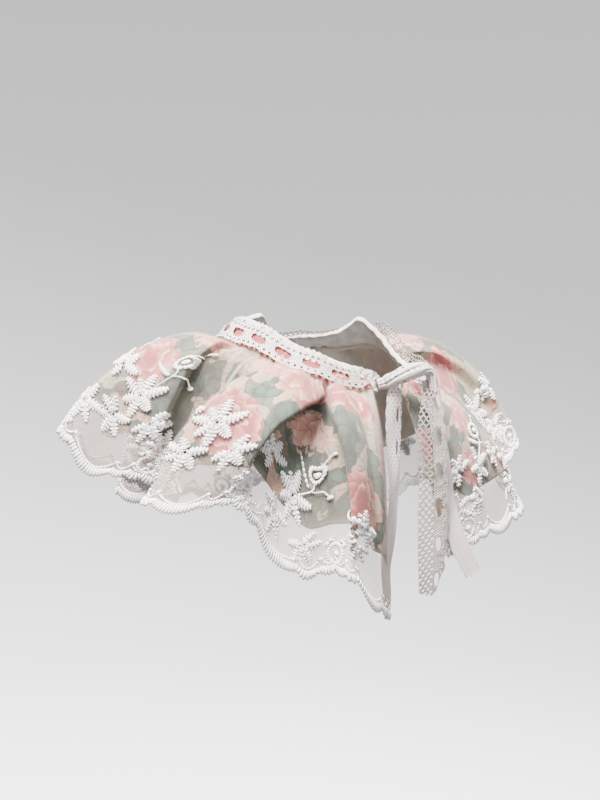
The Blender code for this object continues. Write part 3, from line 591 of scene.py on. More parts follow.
def in_leaf(leaf, x, y):
    """Mm along and across a leaf, and mm inside its edge. Its half width is a sine over
    its length, fuller towards its base."""
    share = np.clip(x / leaf.length + 0.5, 0.0, 1.0)
    past_end = np.maximum(abs(x) - leaf.length / 2, 0.0)
    return x, y, (leaf.width / 2 + 1.2) * np.sin(pi * share**0.8) - abs(y) - past_end


def nearest_motif(motifs, measured, along, depth):
    """What is measured in the motif that each place lies deepest in, and that one's tone."""
    place, tone = np.full(along.shape + (3,), -9.0), np.zeros(along.shape)
    for motif in motifs:
        found = np.stack(measured(motif, *motif_axes(motif, along, depth)), axis=-1)
        nearer = found[..., 2] > place[..., 2]
        place = np.where(nearer[..., None], found, place)
        tone = np.where(nearer, motif.tone, tone)
    return place, tone


def add_node(tree, kind, inputs, output=0, **settings):
    """Adds a node with the given settings and inputs, each a value or another's output.
    Gives back one output, or all of them where output is None."""
    made = tree.nodes.new(kind)
    for name, value in settings.items():
        setattr(made, name, value)
    for name, value in inputs.items():
        if isinstance(value, bpy.types.NodeSocket):
            tree.links.new(value, made.inputs[name])
        else:
            made.inputs[name].default_value = value
    return made.outputs if output is None else made.outputs[output]


def calc(tree, operation, *values):
    """Arithmetic on values."""
    return add_node(tree, "ShaderNodeMath", dict(enumerate(values)), operation=operation)


def fade(tree, value, low, high, start=0.0, end=1.0):
    """Smooth change from start to end as a value goes from low to high."""
    inputs = {"Value": value, "From Min": low, "From Max": high, "To Min": start, "To Max": end}
    return add_node(tree, "ShaderNodeMapRange", inputs, interpolation_type="SMOOTHSTEP")


def mixed(tree, share, first, second):
    """One colour over another, by a share."""
    first, second = [(*c, 1.0) if isinstance(c, tuple) else c for c in (first, second)]
    return add_node(tree, "ShaderNodeMix", {0: share, 6: first, 7: second}, 2, data_type="RGBA")


def noise(tree, where, scale, detail=2.0, roughness=0.5, output=0):
    """Soft noise whose blotches are about 1 / scale mm wide."""
    return add_node(tree, "ShaderNodeTexNoise", {"Vector": where, "Scale": scale,
                                                 "Detail": detail, "Roughness": roughness}, output)


def noted(tree, name, output="Vector"):
    """What note stored on the piece."""
    return add_node(tree, "ShaderNodeAttribute", {}, output, attribute_name=name)


def parts_of(tree, vector):
    """The three numbers of a vector."""
    return add_node(tree, "ShaderNodeSeparateXYZ", {0: vector}, None)


def cells(tree, where, scale, randomness=1.0, output="Distance", feature="F1"):
    """Flat cells round scattered points."""
    inputs = {"Vector": where, "Scale": scale, "Randomness": randomness}
    return add_node(tree, "ShaderNodeTexVoronoi", inputs, output, feature=feature, voronoi_dimensions="2D")


def wandered(tree, value, by, reach):
    """A value moved by up to half a reach either way, where by is a noise."""
    return calc(tree, "MULTIPLY_ADD", calc(tree, "SUBTRACT", by, 0.5), reach, value)


def raised(tree, shader, height, strength, distance):
    """Lets a height shade the surface as relief."""
    bump = add_node(tree, "ShaderNodeBump", {"Height": height, "Strength": strength, "Distance": distance})
    tree.links.new(bump, shader["Normal"])


def shader_group(name, inputs, outputs):
    """Empty node group with named sockets; gives the tree, its inputs and its outputs."""
    tree = bpy.data.node_groups.new(name, "ShaderNodeTree")
    for in_out, sockets in (("INPUT", inputs), ("OUTPUT", outputs)):
        for label, kind in sockets.items():
            tree.interface.new_socket(name=label, in_out=in_out, socket_type="NodeSocket" + kind)
    return tree, tree.nodes.new("NodeGroupInput").outputs, tree.nodes.new("NodeGroupOutput").inputs


def use_group(tree, group, inputs):
    """Places a group in a material and gives its outputs."""
    return add_node(tree, "ShaderNodeGroup", inputs, None, node_tree=group)


def new_material(name, roughness, sheen=0.0):
    """Material with one Principled shader; gives it, its tree and the shader's inputs."""
    made = bpy.data.materials.new(name)
    made.use_nodes = True
    shader = made.node_tree.nodes["Principled BSDF"].inputs
    for socket, value in {"Roughness": roughness, "Specular IOR Level": 0.25, "Sheen Weight": sheen,
                          "Sheen Roughness": 0.6}.items():
        shader[socket].default_value = value
    return made, made.node_tree, shader


def object_mm(tree):
    """Object coordinates in millimetres."""
    place = add_node(tree, "ShaderNodeTexCoord", {}, "Object")
    return add_node(tree, "ShaderNodeVectorMath", {0: place, "Scale": 1 / MM}, operation="SCALE")


def vector_calc(tree, operation, *values, output=0):
    """Arithmetic on vectors."""
    return add_node(tree, "ShaderNodeVectorMath", dict(enumerate(values)), output, operation=operation)


def motif_group(name):
    """Group for a printed motif, from the place in it that nearest_motif gave."""
    return shader_group(name, {"Place": "Vector", "Tone": "Float", "Wash": "Float", "Cloth": "Vector"},
                        {"Color": "Color", "Mask": "Float"})


def painted_rose():
    """Group for a printed rose: petals as warped cells, each deep on its side towards the
    heart and pale at its rim, with a thin line between them."""
    pale, deep, edge = (0.57, 0.215, 0.175), (0.30, 0.030, 0.040), (0.68, 0.41, 0.33)
    tree, given, made = motif_group("painted rose")
    x, y, inside = parts_of(tree, given["Place"])
    bend = parts_of(tree, noise(tree, given["Cloth"], 0.12, 2.0, output="Color"))
    flat = add_node(tree, "ShaderNodeCombineXYZ", {"X": wandered(tree, x, bend[0], 0.9),
                                                   "Y": wandered(tree, y, bend[1], 0.9)})
    petals = flat, 2.5, 0.85
    pick = parts_of(tree, cells(tree, *petals, "Color"))
    seam = cells(tree, *petals, feature="DISTANCE_TO_EDGE")
    radius = vector_calc(tree, "LENGTH", flat, output="Value")
    petal_radius = vector_calc(tree, "LENGTH", cells(tree, *petals, "Position"), output="Value")
    out = calc(tree, "SUBTRACT", radius, petal_radius)
    shade = fade(tree, out, -0.20, 0.16, 1.0, 0.0)
    heart = fade(tree, radius, 0.10, 0.85, 0.45, 0.0)
    depth = calc(tree, "ADD", calc(tree, "ADD", shade, heart), calc(tree, "MULTIPLY", pick[0], 0.30))
    depth = calc(tree, "MULTIPLY", depth, calc(tree, "MULTIPLY_ADD", given["Tone"], 0.75, 0.15))
    base = mixed(tree, fade(tree, given["Tone"], 0.05, 0.50), (0.44, 0.275, 0.21), pale)
    colour = mixed(tree, depth, base, deep)
    colour = mixed(tree, fade(tree, out, 0.04, 0.24, 0.0, 0.85), colour, edge)
    colour = mixed(tree, fade(tree, seam, 0.01, 0.09, 0.75, 0.0), colour, (0.24, 0.05, 0.045))
    tree.links.new(colour, made["Color"])
    edge_mm = calc(tree, "ADD", wandered(tree, inside, bend[2], 13.0),
                   calc(tree, "MULTIPLY_ADD", pick[1], 3.4, -2.0))
    tree.links.new(fade(tree, edge_mm, -0.2, 0.4), made["Mask"])
    return tree


def painted_leaf():
    """Group for a printed leaf: a wash with a darker edge on one side, a pale midrib and
    slanting side veins every 3 mm."""
    dark, mid, pale = (0.003, 0.012, 0.010), (0.009, 0.031, 0.024), (0.055, 0.115, 0.084)
    tree, given, made = motif_group("painted leaf")
    x, y, inside = parts_of(tree, given["Place"])
    midrib = fade(tree, calc(tree, "ABSOLUTE", y), 0.15, 0.55, 1.0, 0.0)
    slant = calc(tree, "SUBTRACT", x, calc(tree, "MULTIPLY", calc(tree, "ABSOLUTE", y), 1.1))
    vein = fade(tree, calc(tree, "PINGPONG", slant, 1.5), 0.10, 0.35, 1.0, 0.0)
    lines = calc(tree, "MAXIMUM", midrib, calc(tree, "MULTIPLY", vein, 0.5))
    leaflets = given["Cloth"], 0.17, 0.9
    pick = parts_of(tree, cells(tree, *leaflets, "Color"))[0]
    seam = cells(tree, *leaflets, feature="DISTANCE_TO_EDGE")
    across = cells(tree, *leaflets)
    colour = mixed(tree, fade(tree, given["Wash"], 0.40, 0.72), dark, mid)
    lighter = calc(tree, "MULTIPLY_ADD", fade(tree, pick, 0.35, 0.95), 0.55, given["Tone"])
    colour = mixed(tree, lighter, colour, pale)
    colour = mixed(tree, calc(tree, "MULTIPLY", lines, 0.40), colour, pale)
    colour = mixed(tree, fade(tree, across, 0.15, 0.75, 0.0, 0.55), colour, dark)
    colour = mixed(tree, fade(tree, seam, 0.01, 0.08, 0.60, 0.0), colour, dark)
    colour = mixed(tree, fade(tree, inside, 0.2, 0.9, 0.55, 0.0), colour, dark)
    tree.links.new(colour, made["Color"])
    edge_mm = wandered(tree, inside, noise(tree, given["Cloth"], 0.16, 0.0), 6.0)
    edge_mm = calc(tree, "ADD", edge_mm, calc(tree, "MULTIPLY_ADD", pick, 2.4, -1.3))
    tree.links.new(fade(tree, edge_mm, -0.15, 0.25), made["Mask"])
    return tree


def woven():
    """Group for plain weave: two sets of fine threads over and under, with slubs."""
    tree, given, made = shader_group("woven", {"Cloth": "Vector"}, {"Height": "Float"})
    x, y, _ = parts_of(tree, given["Cloth"])
    across, down = [calc(tree, "SINE", calc(tree, "MULTIPLY", calc(tree, "DIVIDE", mm, WEAVE_PITCH), 2 * pi))
                    for mm in (x, y)]
    slub = noise(tree, given["Cloth"], 0.9, 3.0)
    weave = calc(tree, "MULTIPLY_ADD", calc(tree, "MULTIPLY", across, down), 0.35, slub)
    tree.links.new(weave, made["Height"])
    return tree


WEAVE_PITCH = 0.42
rose_group, leaf_group, woven_group = painted_rose(), painted_leaf(), woven()
CREAM = (0.40, 0.300, 0.215)
COTTON_WRONG_SIDE = (0.78, 0.69, 0.58)


def printed_cotton():
    """Cream cotton with leaves behind roses, faint pencil lines, and a pale wrong side."""
    material, tree, shader = new_material("printed cotton", 0.85, sheen=0.15)
    where = object_mm(tree)
    wash, grain = noise(tree, where, 0.16, 4.0, 0.6), noise(tree, where, 0.9, 3.0, 0.6)
    wobble = calc(tree, "MULTIPLY_ADD", grain, 0.45, calc(tree, "MULTIPLY", wash, 0.55))
    colour = mixed(tree, fade(tree, wash, 0.42, 0.62), CREAM, (0.48, 0.235, 0.175))
    colour = mixed(tree, fade(tree, noise(tree, where, 0.07, 1.0), 0.46, 0.60, 0.0, 0.60), colour,
                   (0.21, 0.26, 0.18))
    pencil = add_node(tree, "ShaderNodeTexNoise", {"Vector": where, "Scale": 0.20, "Detail": 3.0,
                                                   "Distortion": 1.4})
    pencil = fade(tree, calc(tree, "ABSOLUTE", calc(tree, "SUBTRACT", pencil, 0.5)), 0.004, 0.024, 0.80, 0.0)
    outline = cells(tree, noted(tree, "cloth"), 0.21, feature="DISTANCE_TO_EDGE")
    outline = calc(tree, "MULTIPLY", fade(tree, outline, 0.03, 0.11, 0.90, 0.0),
                   fade(tree, noise(tree, where, 0.11, 2.0), 0.46, 0.56))
    colour = mixed(tree, calc(tree, "MAXIMUM", pencil, outline), colour, (0.15, 0.12, 0.085))
    for name, group, strength in (("leaf behind", leaf_group, 0.80), ("leaf before", leaf_group, 0.95),
                                  ("rose", rose_group, 0.95)):
        inputs = {"Place": noted(tree, name), "Wash": wobble, "Tone": noted(tree, name + " tone", "Fac"),
                  "Cloth": noted(tree, "cloth")}
        motif = use_group(tree, group, inputs)
        colour = mixed(tree, calc(tree, "MULTIPLY", motif["Mask"], strength), colour, motif["Color"])
    faded = fade(tree, noted(tree, "wrong side", "Fac"), 0.0, 1.0, 0.03, 0.72)
    colour = mixed(tree, faded, colour, COTTON_WRONG_SIDE)
    tree.links.new(colour, shader["Base Color"])
    weave = use_group(tree, woven_group, {"Cloth": noted(tree, "cloth")})
    raised(tree, shader, weave["Height"], 0.35, 0.0002)
    return material


cotton_along = np.linspace(0.0, HEM_LENGTH, COTTON_COLUMNS)[:, None]
lifted = ease(*LIFT_BEGINS, cotton_along) * (1 - ease(*LIFT_ENDS, cotton_along))
cotton_foot = COTTON_DEPTH - HEM_LIFT * lifted
cotton_depth = COTTON_TOP + (cotton_foot - COTTON_TOP) * np.linspace(0.0, 1.0, COTTON_ROWS)[None, :]
cotton_along, cotton_depth = np.broadcast_arrays(cotton_along, cotton_depth)
cotton = cloth_shell("cotton_cloth", on_cape(cotton_along, cotton_depth, COTTON_OUTSIDE),
                     on_cape(cotton_along, cotton_depth, COTTON_INSIDE), printed_cotton())
cotton_down = read_grid(length_down, cotton_along, cotton_depth)
for name, motifs, measured in (("rose", ROSES, in_rose), ("leaf before", LEAVES[::2], in_leaf),
                               ("leaf behind", LEAVES[1::2], in_leaf)):
    place, tone = nearest_motif(motifs, measured, cotton_along, cotton_depth)
    note(cotton, name, np.concatenate([place, place]))
    note(cotton, name + " tone", np.concatenate([tone, tone]))
note_cloth(cotton, np.tile(cotton_along, (2, 1)), np.tile(cotton_down, (2, 1)))
note(cotton, "wrong side", np.repeat([0.0, 1.0], cotton_along.size))
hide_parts("cotton_flounce")

# Net flounce
# Fine machine tulle gathered in the same seam over the cotton. It is a third longer, so
# its scalloped hem hangs free below the print, and it veils the print with a warm grey.
NET_LIFT = 0.55
NET_COLUMNS, NET_ROWS = 900, 92
NET_TOP = -0.030          # its raw edge lies under the foot of the tape
MESH_PER_MM = 1.15

# The places along the hem where ring motifs sit in the border, and the scallops between
# two of them, with how far each one drops.
RING_PLACES = [50, 108, 154, 199, 249, 300, 353, 407, 459, 506, 557, 608, 662, 718]
Scallop = namedtuple("Scallop", "width drop")
BORDER = [Scallop(7.5, 2.2)] * 2 + [Scallop(22.0, 4.6)] + [Scallop(7.5, 2.2)] * 2
SCALLOP_ENDS = np.cumsum([scallop.width for scallop in BORDER])


def between_rings():
    """Start of each stretch of the border, and how much its scallops are stretched."""
    return [(ring, (next_ring - ring) / SCALLOP_ENDS[-1])
            for ring, next_ring in zip([0.0] + RING_PLACES, RING_PLACES + [HEM_LENGTH])]


def scallop_at(along):
    """Share of the way along the border's scallop at a place, its width and its drop."""
    edges, drops = [0.0], []
    for _, scale in between_rings():
        edges += list(edges[-1] + scale * SCALLOP_ENDS)
        drops += [min(scale, 1.0) * scallop.drop for scallop in BORDER]
    edges, drops = np.array(edges), np.array(drops)
    k = np.clip(np.searchsorted(edges, along, side="right") - 1, 0, len(drops) - 1)
    width = edges[k + 1] - edges[k]
    return np.clip((along - edges[k]) / width, 0.0, 1.0), width, drops[k]


def scalloped(along):
    """Depth of the net's cut edge: each scallop is half a sine wave below the hem line."""
    share, _, drop = scallop_at(along)
    return 1.0 + drop * np.sin(pi * share) / MM_PER_DEPTH


def tulle():
    """Group for tulle: round holes packed like a honeycomb, by the distance to the
    nearest cell wall, with the threads uneven from place to place."""
    tree, given, made = shader_group("tulle", {"Cloth": "Vector"}, {"Thread": "Float"})
    wall = cells(tree, given["Cloth"], MESH_PER_MM, 0.35, feature="DISTANCE_TO_EDGE")
    width = calc(tree, "MULTIPLY_ADD", noise(tree, given["Cloth"], 0.12, 3.0), 0.10, 0.07)
    tree.links.new(fade(tree, calc(tree, "SUBTRACT", wall, width), 0.0, 0.07, 1.0, 0.0), made["Thread"])
    return tree


def net_material():
    """Warm grey net, which shows less where it lies on the print than where it hangs free."""
    material, tree, shader = new_material("embroidered net", 0.8)
    threads = use_group(tree, tulle(), {"Cloth": noted(tree, "cloth")})["Thread"]
    tone = mixed(tree, noise(tree, object_mm(tree), 0.05), (0.56, 0.41, 0.345), (0.46, 0.33, 0.275))
    tree.links.new(mixed(tree, threads, tone, (0.66, 0.53, 0.46)), shader["Base Color"])
    edge_on = add_node(tree, "ShaderNodeLayerWeight", {"Blend": 0.35}, "Facing")
    cover = calc(tree, "MULTIPLY_ADD", noted(tree, "free", "Fac"), 0.33,
                 calc(tree, "MULTIPLY", threads, 0.11))
    tree.links.new(calc(tree, "MULTIPLY_ADD", edge_on, 0.12, cover), shader["Alpha"])
    return material


net_along = np.linspace(0.0, HEM_LENGTH, NET_COLUMNS)[:, None]
net_depth = NET_TOP + np.linspace(0.0, 1.0, NET_ROWS)[None, :] * (scalloped(net_along) - NET_TOP)
net_along, net_depth = np.broadcast_arrays(net_along, net_depth)
net_points = on_cape(net_along, net_depth, NET_LIFT)
net = make_piece("net_cloth", net_points, grid_faces(NET_COLUMNS, NET_ROWS).tolist(), net_material())
note_cloth(net, net_along, read_grid(length_down, net_along, net_depth))
note(net, "free", ease(COTTON_DEPTH - 0.05, COTTON_DEPTH + 0.03, net_depth))
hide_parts("lace_flounce")

# Embroidery on the net
# Thick white cotton worked on the net: a toothed border, rings with two ears where its
# scallops meet, a cord with knots above it, and a spray of leaf-like petals over each.
Stitch = namedtuple("Stitch", "anchor points half height ridge slant")
STITCH_BASE = 0.62
STITCH_STEP = 0.32
STITCH_SIDES = 8


def petal(anchor, x, y, angle, length, width):
    """Satin leaf from a point, fullest near its middle; x is to the viewer's right."""
    turn = np.radians(angle)
    way = np.array([np.cos(turn), np.sin(turn)])
    line = np.array([x, y]) + way * np.linspace(0.6, length, max(9, int(length / STITCH_STEP)))[:, None]
    share = np.linspace(0.0, 1.0, len(line))
    half = width * 0.64 * (0.20 + 0.80 * np.sin(pi * (0.03 + 0.94 * share**0.85))**0.6)
    return Stitch(anchor, line, half, 0.90, 1.75, 0.50)


def cord_line(anchor, points, width=0.8):
    """Round cord couched along a smooth line through a few points."""
    length = lengths_along(np.array(points, float))[-1]
    line = smooth_rows(points, max(5, int(length / STITCH_STEP) + 1))
    return Stitch(anchor, line, np.full(len(line), width / 2), 0.55, 0.9, 0.0)


def knot_dot(anchor, x, y, radius):
    """Padded dot."""
    share = np.linspace(0.0, 1.0, 8)
    line = np.stack([x + radius * (2 * share - 1), y + 0 * share], axis=-1)
    return Stitch(anchor, line, radius * np.sin(pi * np.clip(share, 0.04, 0.96))**0.5, 0.85, 9.0, 0.0)


def ring_motif(anchor, x, y, radius, ears=True):
    """Toothed ring round a dot, with two three-lobed ears."""
    turn = np.linspace(0, 2 * pi, int(2 * pi * radius / STITCH_STEP))
    line = np.stack([x + radius * np.cos(turn), y + radius * np.sin(turn)], axis=-1)
    made = [Stitch(anchor, line, np.full(len(line), 1.05), 0.70, 1.2, 0.0),
            knot_dot(anchor, x, y, 1.7)]
    if ears:
        for side in (58, 122):
            turn = np.radians(side)
            foot_x, foot_y = x + (radius + 0.6) * np.cos(turn), y + (radius + 0.6) * np.sin(turn)
            made += [petal(anchor, foot_x, foot_y, side + lean, 3.4, 1.9) for lean in (-48, 0, 48)]
    return made


def flower(anchor, x, y, petals, size=1.0):
    """Petals round a point, each given by its angle, length and width."""
    return [petal(anchor, x, y, angle, size * length, size * width) for angle, length, width in petals]


PETALS_OF_FIRST = ((88, 11.5, 5.2), (20, 12.0, 5.4), (-40, 11.0, 5.0), (-92, 11.5, 5.2), (176, 11.0, 5.0),
                   (224, 10.0, 4.6), (132, 8.5, 4.0))
PETALS_OF_SECOND = ((168, 9.0, 4.6), (215, 8.5, 4.4), (262, 10.0, 4.8), (308, 9.5, 4.6), (12, 9.5, 4.4),
                    (120, 7.5, 4.0))
PETALS_OF_THIRD = ((20, 9.5, 4.2), (65, 9.0, 4.2), (110, 9.0, 4.0), (160, 9.5, 4.2), (205, 8.0, 3.8),
                   (255, 7.5, 3.8))
PETALS_OF_FOURTH = ((60, 8.0, 4.2), (8, 9.0, 4.4), (-50, 9.0, 4.4), (-100, 9.5, 4.6), (-150, 8.0, 4.2))
FOURTH_FLOWER_FROM_SIZE = 0.9


def spray(sprig):
    """Two flowers or more and a scroll, on some with a bead ring on a stem and a slender leaf."""
    anchor, side, size = (sprig.place, sprig.height), sprig.side, sprig.size

    def at(x, y):
        return x * side * size, y * size

    made = flower(anchor, 0, 0, PETALS_OF_FIRST, size)
    made += flower(anchor, *at(-7.5, -15), PETALS_OF_SECOND, size)
    if size >= FOURTH_FLOWER_FROM_SIZE:
        made += flower(anchor, 12 * side, -14, PETALS_OF_FOURTH, size)
    if sprig.third:
        made += flower(anchor, -17 * side, 3, PETALS_OF_THIRD, size)
    if sprig.ring:
        made += ring_motif(anchor, *at(9, 19), 3.3, ears=False)
        made += [cord_line(anchor, [at(9, 15.4), at(9.5, 12), at(6, 7), (2 * side, 2)]),
                 cord_line(anchor, [at(9, 11), at(14, 10.5), at(18.5, 6.5)]),
                 knot_dot(anchor, *at(18.7, 6), 1.35),
                 cord_line(anchor, [at(10, 22.4), at(13, 26)]),
                 knot_dot(anchor, *at(13.2, 26.6), 1.25)]
        leaf = petal(anchor, *at(8, 11), 90 + 58 * side, 12.5 * size, 1.9)
        made.append(leaf._replace(slant=0.0))
    made.append(cord_line(anchor, [at(-13, -16), at(-17, -18.5), at(-20, -23)], 0.7))
    return made


# place and height are the middle of a spray's first flower, in mm along and above the hem.
Sprig = namedtuple("Sprig", "place height side size third ring", defaults=(False, False))
SPRIGS = [Sprig(*row) for row in (
    (30, 28, 1, 0.75), (77.5, 26.5, 1, 0.95, True, True), (131, 41, 1, 1.0, True), (177, 36, -1, 0.85, True),
    (219, 41, 1, 1.0, True, True), (270, 38, 1, 1.0, True, True), (326, 38, -1, 1.0, False, True),
    (380, 38, 1, 1.0, False, True), (433, 38, -1, 1.0, False, True), (483, 38, 1, 1.0, False, True),
    (532, 38, -1, 1.0, False, True), (578, 38, 1, 0.9, False, True), (618, 31, -1, 0.9, True),
    (702, 31, 1, 0.85, True, True), (662, 29, 1, 0.85, True), (108, 13, -1, 0.60), (240, 19, 1, 0.85),
    (196, 17, -1, 0.75), (640, 18, 1, 0.8), (722, 18, 1, 0.7),
)]


def place_on_cloth(anchor, aside, above):
    """Place and depth of points that lie so many mm along the cloth from an anchor and
    above the hem line, found by stepping along and down the cloth until both agree."""
    along, depth = anchor + aside, 1 - above / MM_PER_DEPTH
    for _ in range(7):
        slope = (read_grid(length_down, along, depth + 0.01)
                 - read_grid(length_down, along, depth - 0.01)) / 0.02
        still = read_grid(length_down, along, np.ones(depth.shape)) - above
        depth = np.clip(depth + (still - read_grid(length_down, along, depth)) / slope, -0.02, 1.11)
        slope = (read_grid(arc_along, along + 1, depth) - read_grid(arc_along, along - 1, depth)) / 2
        now = read_grid(arc_along, along, depth) - read_grid(arc_along, anchor, depth)
        along = np.clip(along + (aside - now) / np.maximum(slope, 0.35), 0.0, HEM_LENGTH)
    return along, depth


def ring_section(half, height, crown, least):
    """Offsets of a stitch's section: a dome above, nearly flat below, lower and narrower
    in the grooves between threads, down to its least share of the width."""
    turn = np.linspace(0, 2 * pi, STITCH_SIDES, endpoint=False)[None, :]
    wide = half[:, None] * np.cos(turn) * (least + (1 - least) * crown)
    tall = np.where(np.sin(turn) > 0, height * (0.12 + 0.88 * crown), 0.12) * np.sin(turn)
    return wide, tall


def tube_faces(rings, sides, start=0, turned=False):
    """Quads and two caps of a tube of rings of points, counted ring by ring from start."""
    index = start + np.arange(rings * sides).reshape(rings, sides)
    beside = np.roll(index, -1, axis=1)
    walls = np.stack([index[:-1], beside[:-1], beside[1:], index[1:]], axis=-1).reshape(-1, 4)
    if turned:
        return walls[:, [0, 3, 2, 1]].tolist() + [index[0].tolist(), index[-1, ::-1].tolist()]
    return walls.tolist() + [index[0, ::-1].tolist(), index[-1].tolist()]


def worked(name, stitches, material):
    """One mesh of many stitches, each a closed tube on the net with capped ends."""
    anchors, asides, aboves, lifts, crowns, faces, count = [], [], [], [], [], [], 0
    turn = np.linspace(0, 2 * pi, STITCH_SIDES, endpoint=False)[None, :]
    for order, stitch in enumerate(stitches):
        line = stitch.points
        way = np.gradient(line, axis=0)
        way /= np.maximum(np.linalg.norm(way, axis=1, keepdims=True), 1e-6)
        length = lengths_along(line)
        out = abs(np.cos(turn)) * stitch.half[:, None]
        crown = abs(np.sin(pi * (length[:, None] - stitch.slant * out) / stitch.ridge))
        crown = crown**(1.0 if stitch.slant else 0.7)
        wide, tall = ring_section(stitch.half, stitch.height, crown, 0.12 if stitch.slant else 0.40)
        x = line[:, :1] - way[:, 1:] * wide
        y = line[:, 1:] + way[:, :1] * wide
        anchor = np.broadcast_to(np.reshape(stitch.anchor[0], (-1, 1)), x.shape)
        along_hem = np.size(stitch.anchor[0]) > 1
        anchors.append(anchor.ravel())
        asides.append(-(x - line[:, :1] * along_hem).ravel())
        aboves.append(stitch.anchor[1] + y.ravel())
        lifts.append(STITCH_BASE + 0.07 * (order % 5) + tall.ravel())
        crowns.append(crown.ravel())
        faces += tube_faces(len(line), STITCH_SIDES, count, turned=True)
        count += x.size
    anchor, aside, above = map(np.concatenate, (anchors, asides, aboves))
    along, depth = place_on_cloth(anchor, aside, above)
    piece = make_piece(name, on_cape(along, depth, np.concatenate(lifts)), faces, material)
    note(piece, "crown", np.concatenate(crowns))
    return piece


def thread_material(name, light, groove_shade):
    """Matt cotton thread, with painted shade in the grooves between threads."""
    material, tree, shader = new_material(name, 0.75, sheen=0.2)
    where = object_mm(tree)
    crown = fade(tree, noted(tree, "crown", "Fac"), 0.05, 0.75)
    crown = calc(tree, "MULTIPLY", crown, calc(tree, "MULTIPLY_ADD", noise(tree, where, 1.4), 0.5, 0.75))
    # Painted shade: the dark second colour shows where the stitch's crown falls away into the grooves.
    tree.links.new(mixed(tree, crown, groove_shade, light), shader["Base Color"])
    raised(tree, shader, noise(tree, where, 4.0), 0.3, 0.0002)
    return material


def border_stitches():
    """Border along the cut edge, cord above it, and the knots and rings where they meet."""
    places = np.arange(0.0, HEM_LENGTH, 0.30)
    share, width, drop = scallop_at(places)
    wave = np.sin(pi * share)
    half = np.where(width > 12, 1.9 + 1.2 * wave, 1.7 + 0.9 * wave)
    edge = -drop * wave
    arc = np.interp(places, along_grid, arc_along[:, hem_column])
    line = np.stack([-arc, edge + half * 0.8], axis=-1)
    cord = np.stack([-arc, edge + 6.4 - 1.4 * wave**0.5], axis=-1)
    made = [Stitch((places, 0.0), line, half, 1.0, 1.5, 0.0),
            Stitch((places, 0.0), cord, np.full(len(places), 0.55), 0.6, 0.9, 0.0)]
    for ring, scale in between_rings():
        if ring:
            made += ring_motif((ring, 0.0), 0, 7.2, 4.4)
        if scale > 0.5:
            made += [knot_dot((ring + end * scale, 0.0), 0, 6.0, 1.3) for end in SCALLOP_ENDS[:-1]]
    return made


# The dark second colour is painted shade for the grooves between stitches.
thread = thread_material("embroidery cotton", (0.95, 0.91, 0.88), (0.13, 0.10, 0.09))
border = worked("net_border", border_stitches(), thread)
sprays, back_sprays = [worked(name, [stitch for sprig in SPRIGS for stitch in spray(sprig)
                                     if (HIDDEN_FROM < sprig.place < HIDDEN_TO) == behind], thread)
                       for name, behind in (("net_sprays", False), ("net_sprays_behind", True))]

# Eyelet tape
# Cotton crochet tape sewn over the gathers, with picots on top, two rows of small holes,
# a row of long eyelets and a wavy foot. Towards the knot it is drawn together.
TAPE_TOP, TAPE_FOOT = -7.0, 6.0
TAPE_OVER_GATHERS = CLOTH + 3 * SEAM_GAP
TAPE_LEAN_IN, TAPE_LEAN_OUT, TAPE_LEAN_MIDDLE = 2.9, 6.5, 0.25
TAPE_LEANS_OUT, TAPE_LEANS_BACK = (256.0, 268.0), (322.0, 346.0)
TAPE_FOOT_LIFT = 1.0
TAPE_END_SPREAD = 2.0
TAPE_START, TAPE_END = 20.5, 358.0
TAPE_FULL_FROM, TAPE_FULL_TO = 36.0, 338.0
TAPE_WIDTH_AT_ENDS = 0.3
TAPE_EYELETS = 22
EYELET_LENGTH, EYELET_HEIGHT, EYELET_MIDDLE = 7.8, 4.3, 0.8
TAPE_LIFT = 0.55
TAPE_STEP, TAPE_ROWS = 0.40, 44
PICOT_PITCH, WAVE_PITCH = 3.0, 7.2
HOLE_PITCH, HOLE_RADIUS = 2.9, 0.95
TAPE_RAISED_TO_KNOT = 3.2


def holes_in_rows(s, w, rows, pitch, radius):
    """Distance outside the nearest of the round holes in staggered rows, less than 0 in one."""
    nearest = np.full(s.shape, 9.0)
    for number, row in enumerate(rows):
        aside = (s + 0.5 * pitch * (number % 2)) % pitch - pitch / 2
        nearest = np.minimum(nearest, np.hypot(aside, w - row) - radius)
    return nearest


def long_eyelets(s, w, pitch, length, height, middle):
    """The same for a row of long rounded eyelets."""
    aside = abs(s % pitch - pitch / 2) / (length / 2)
    return ((aside**2.4 + (abs(w - middle) / (height / 2))**2.4)**(1 / 2.4) - 1) * height / 2


def lace_piece(name, points, face, body, material, lift):
    """Lace as a sheet that its material cuts where body, the mm to the nearest edge, is
    under 0. Along each edge it is raised into a cord."""
    cord = 0.34 * np.exp(-((body - 0.42) / 0.36)**2)
    points = points + face * (lift + cord)[..., None]
    piece = make_piece(name, points, grid_faces(*body.shape).tolist(), material)
    note(piece, "body", body)
    return piece


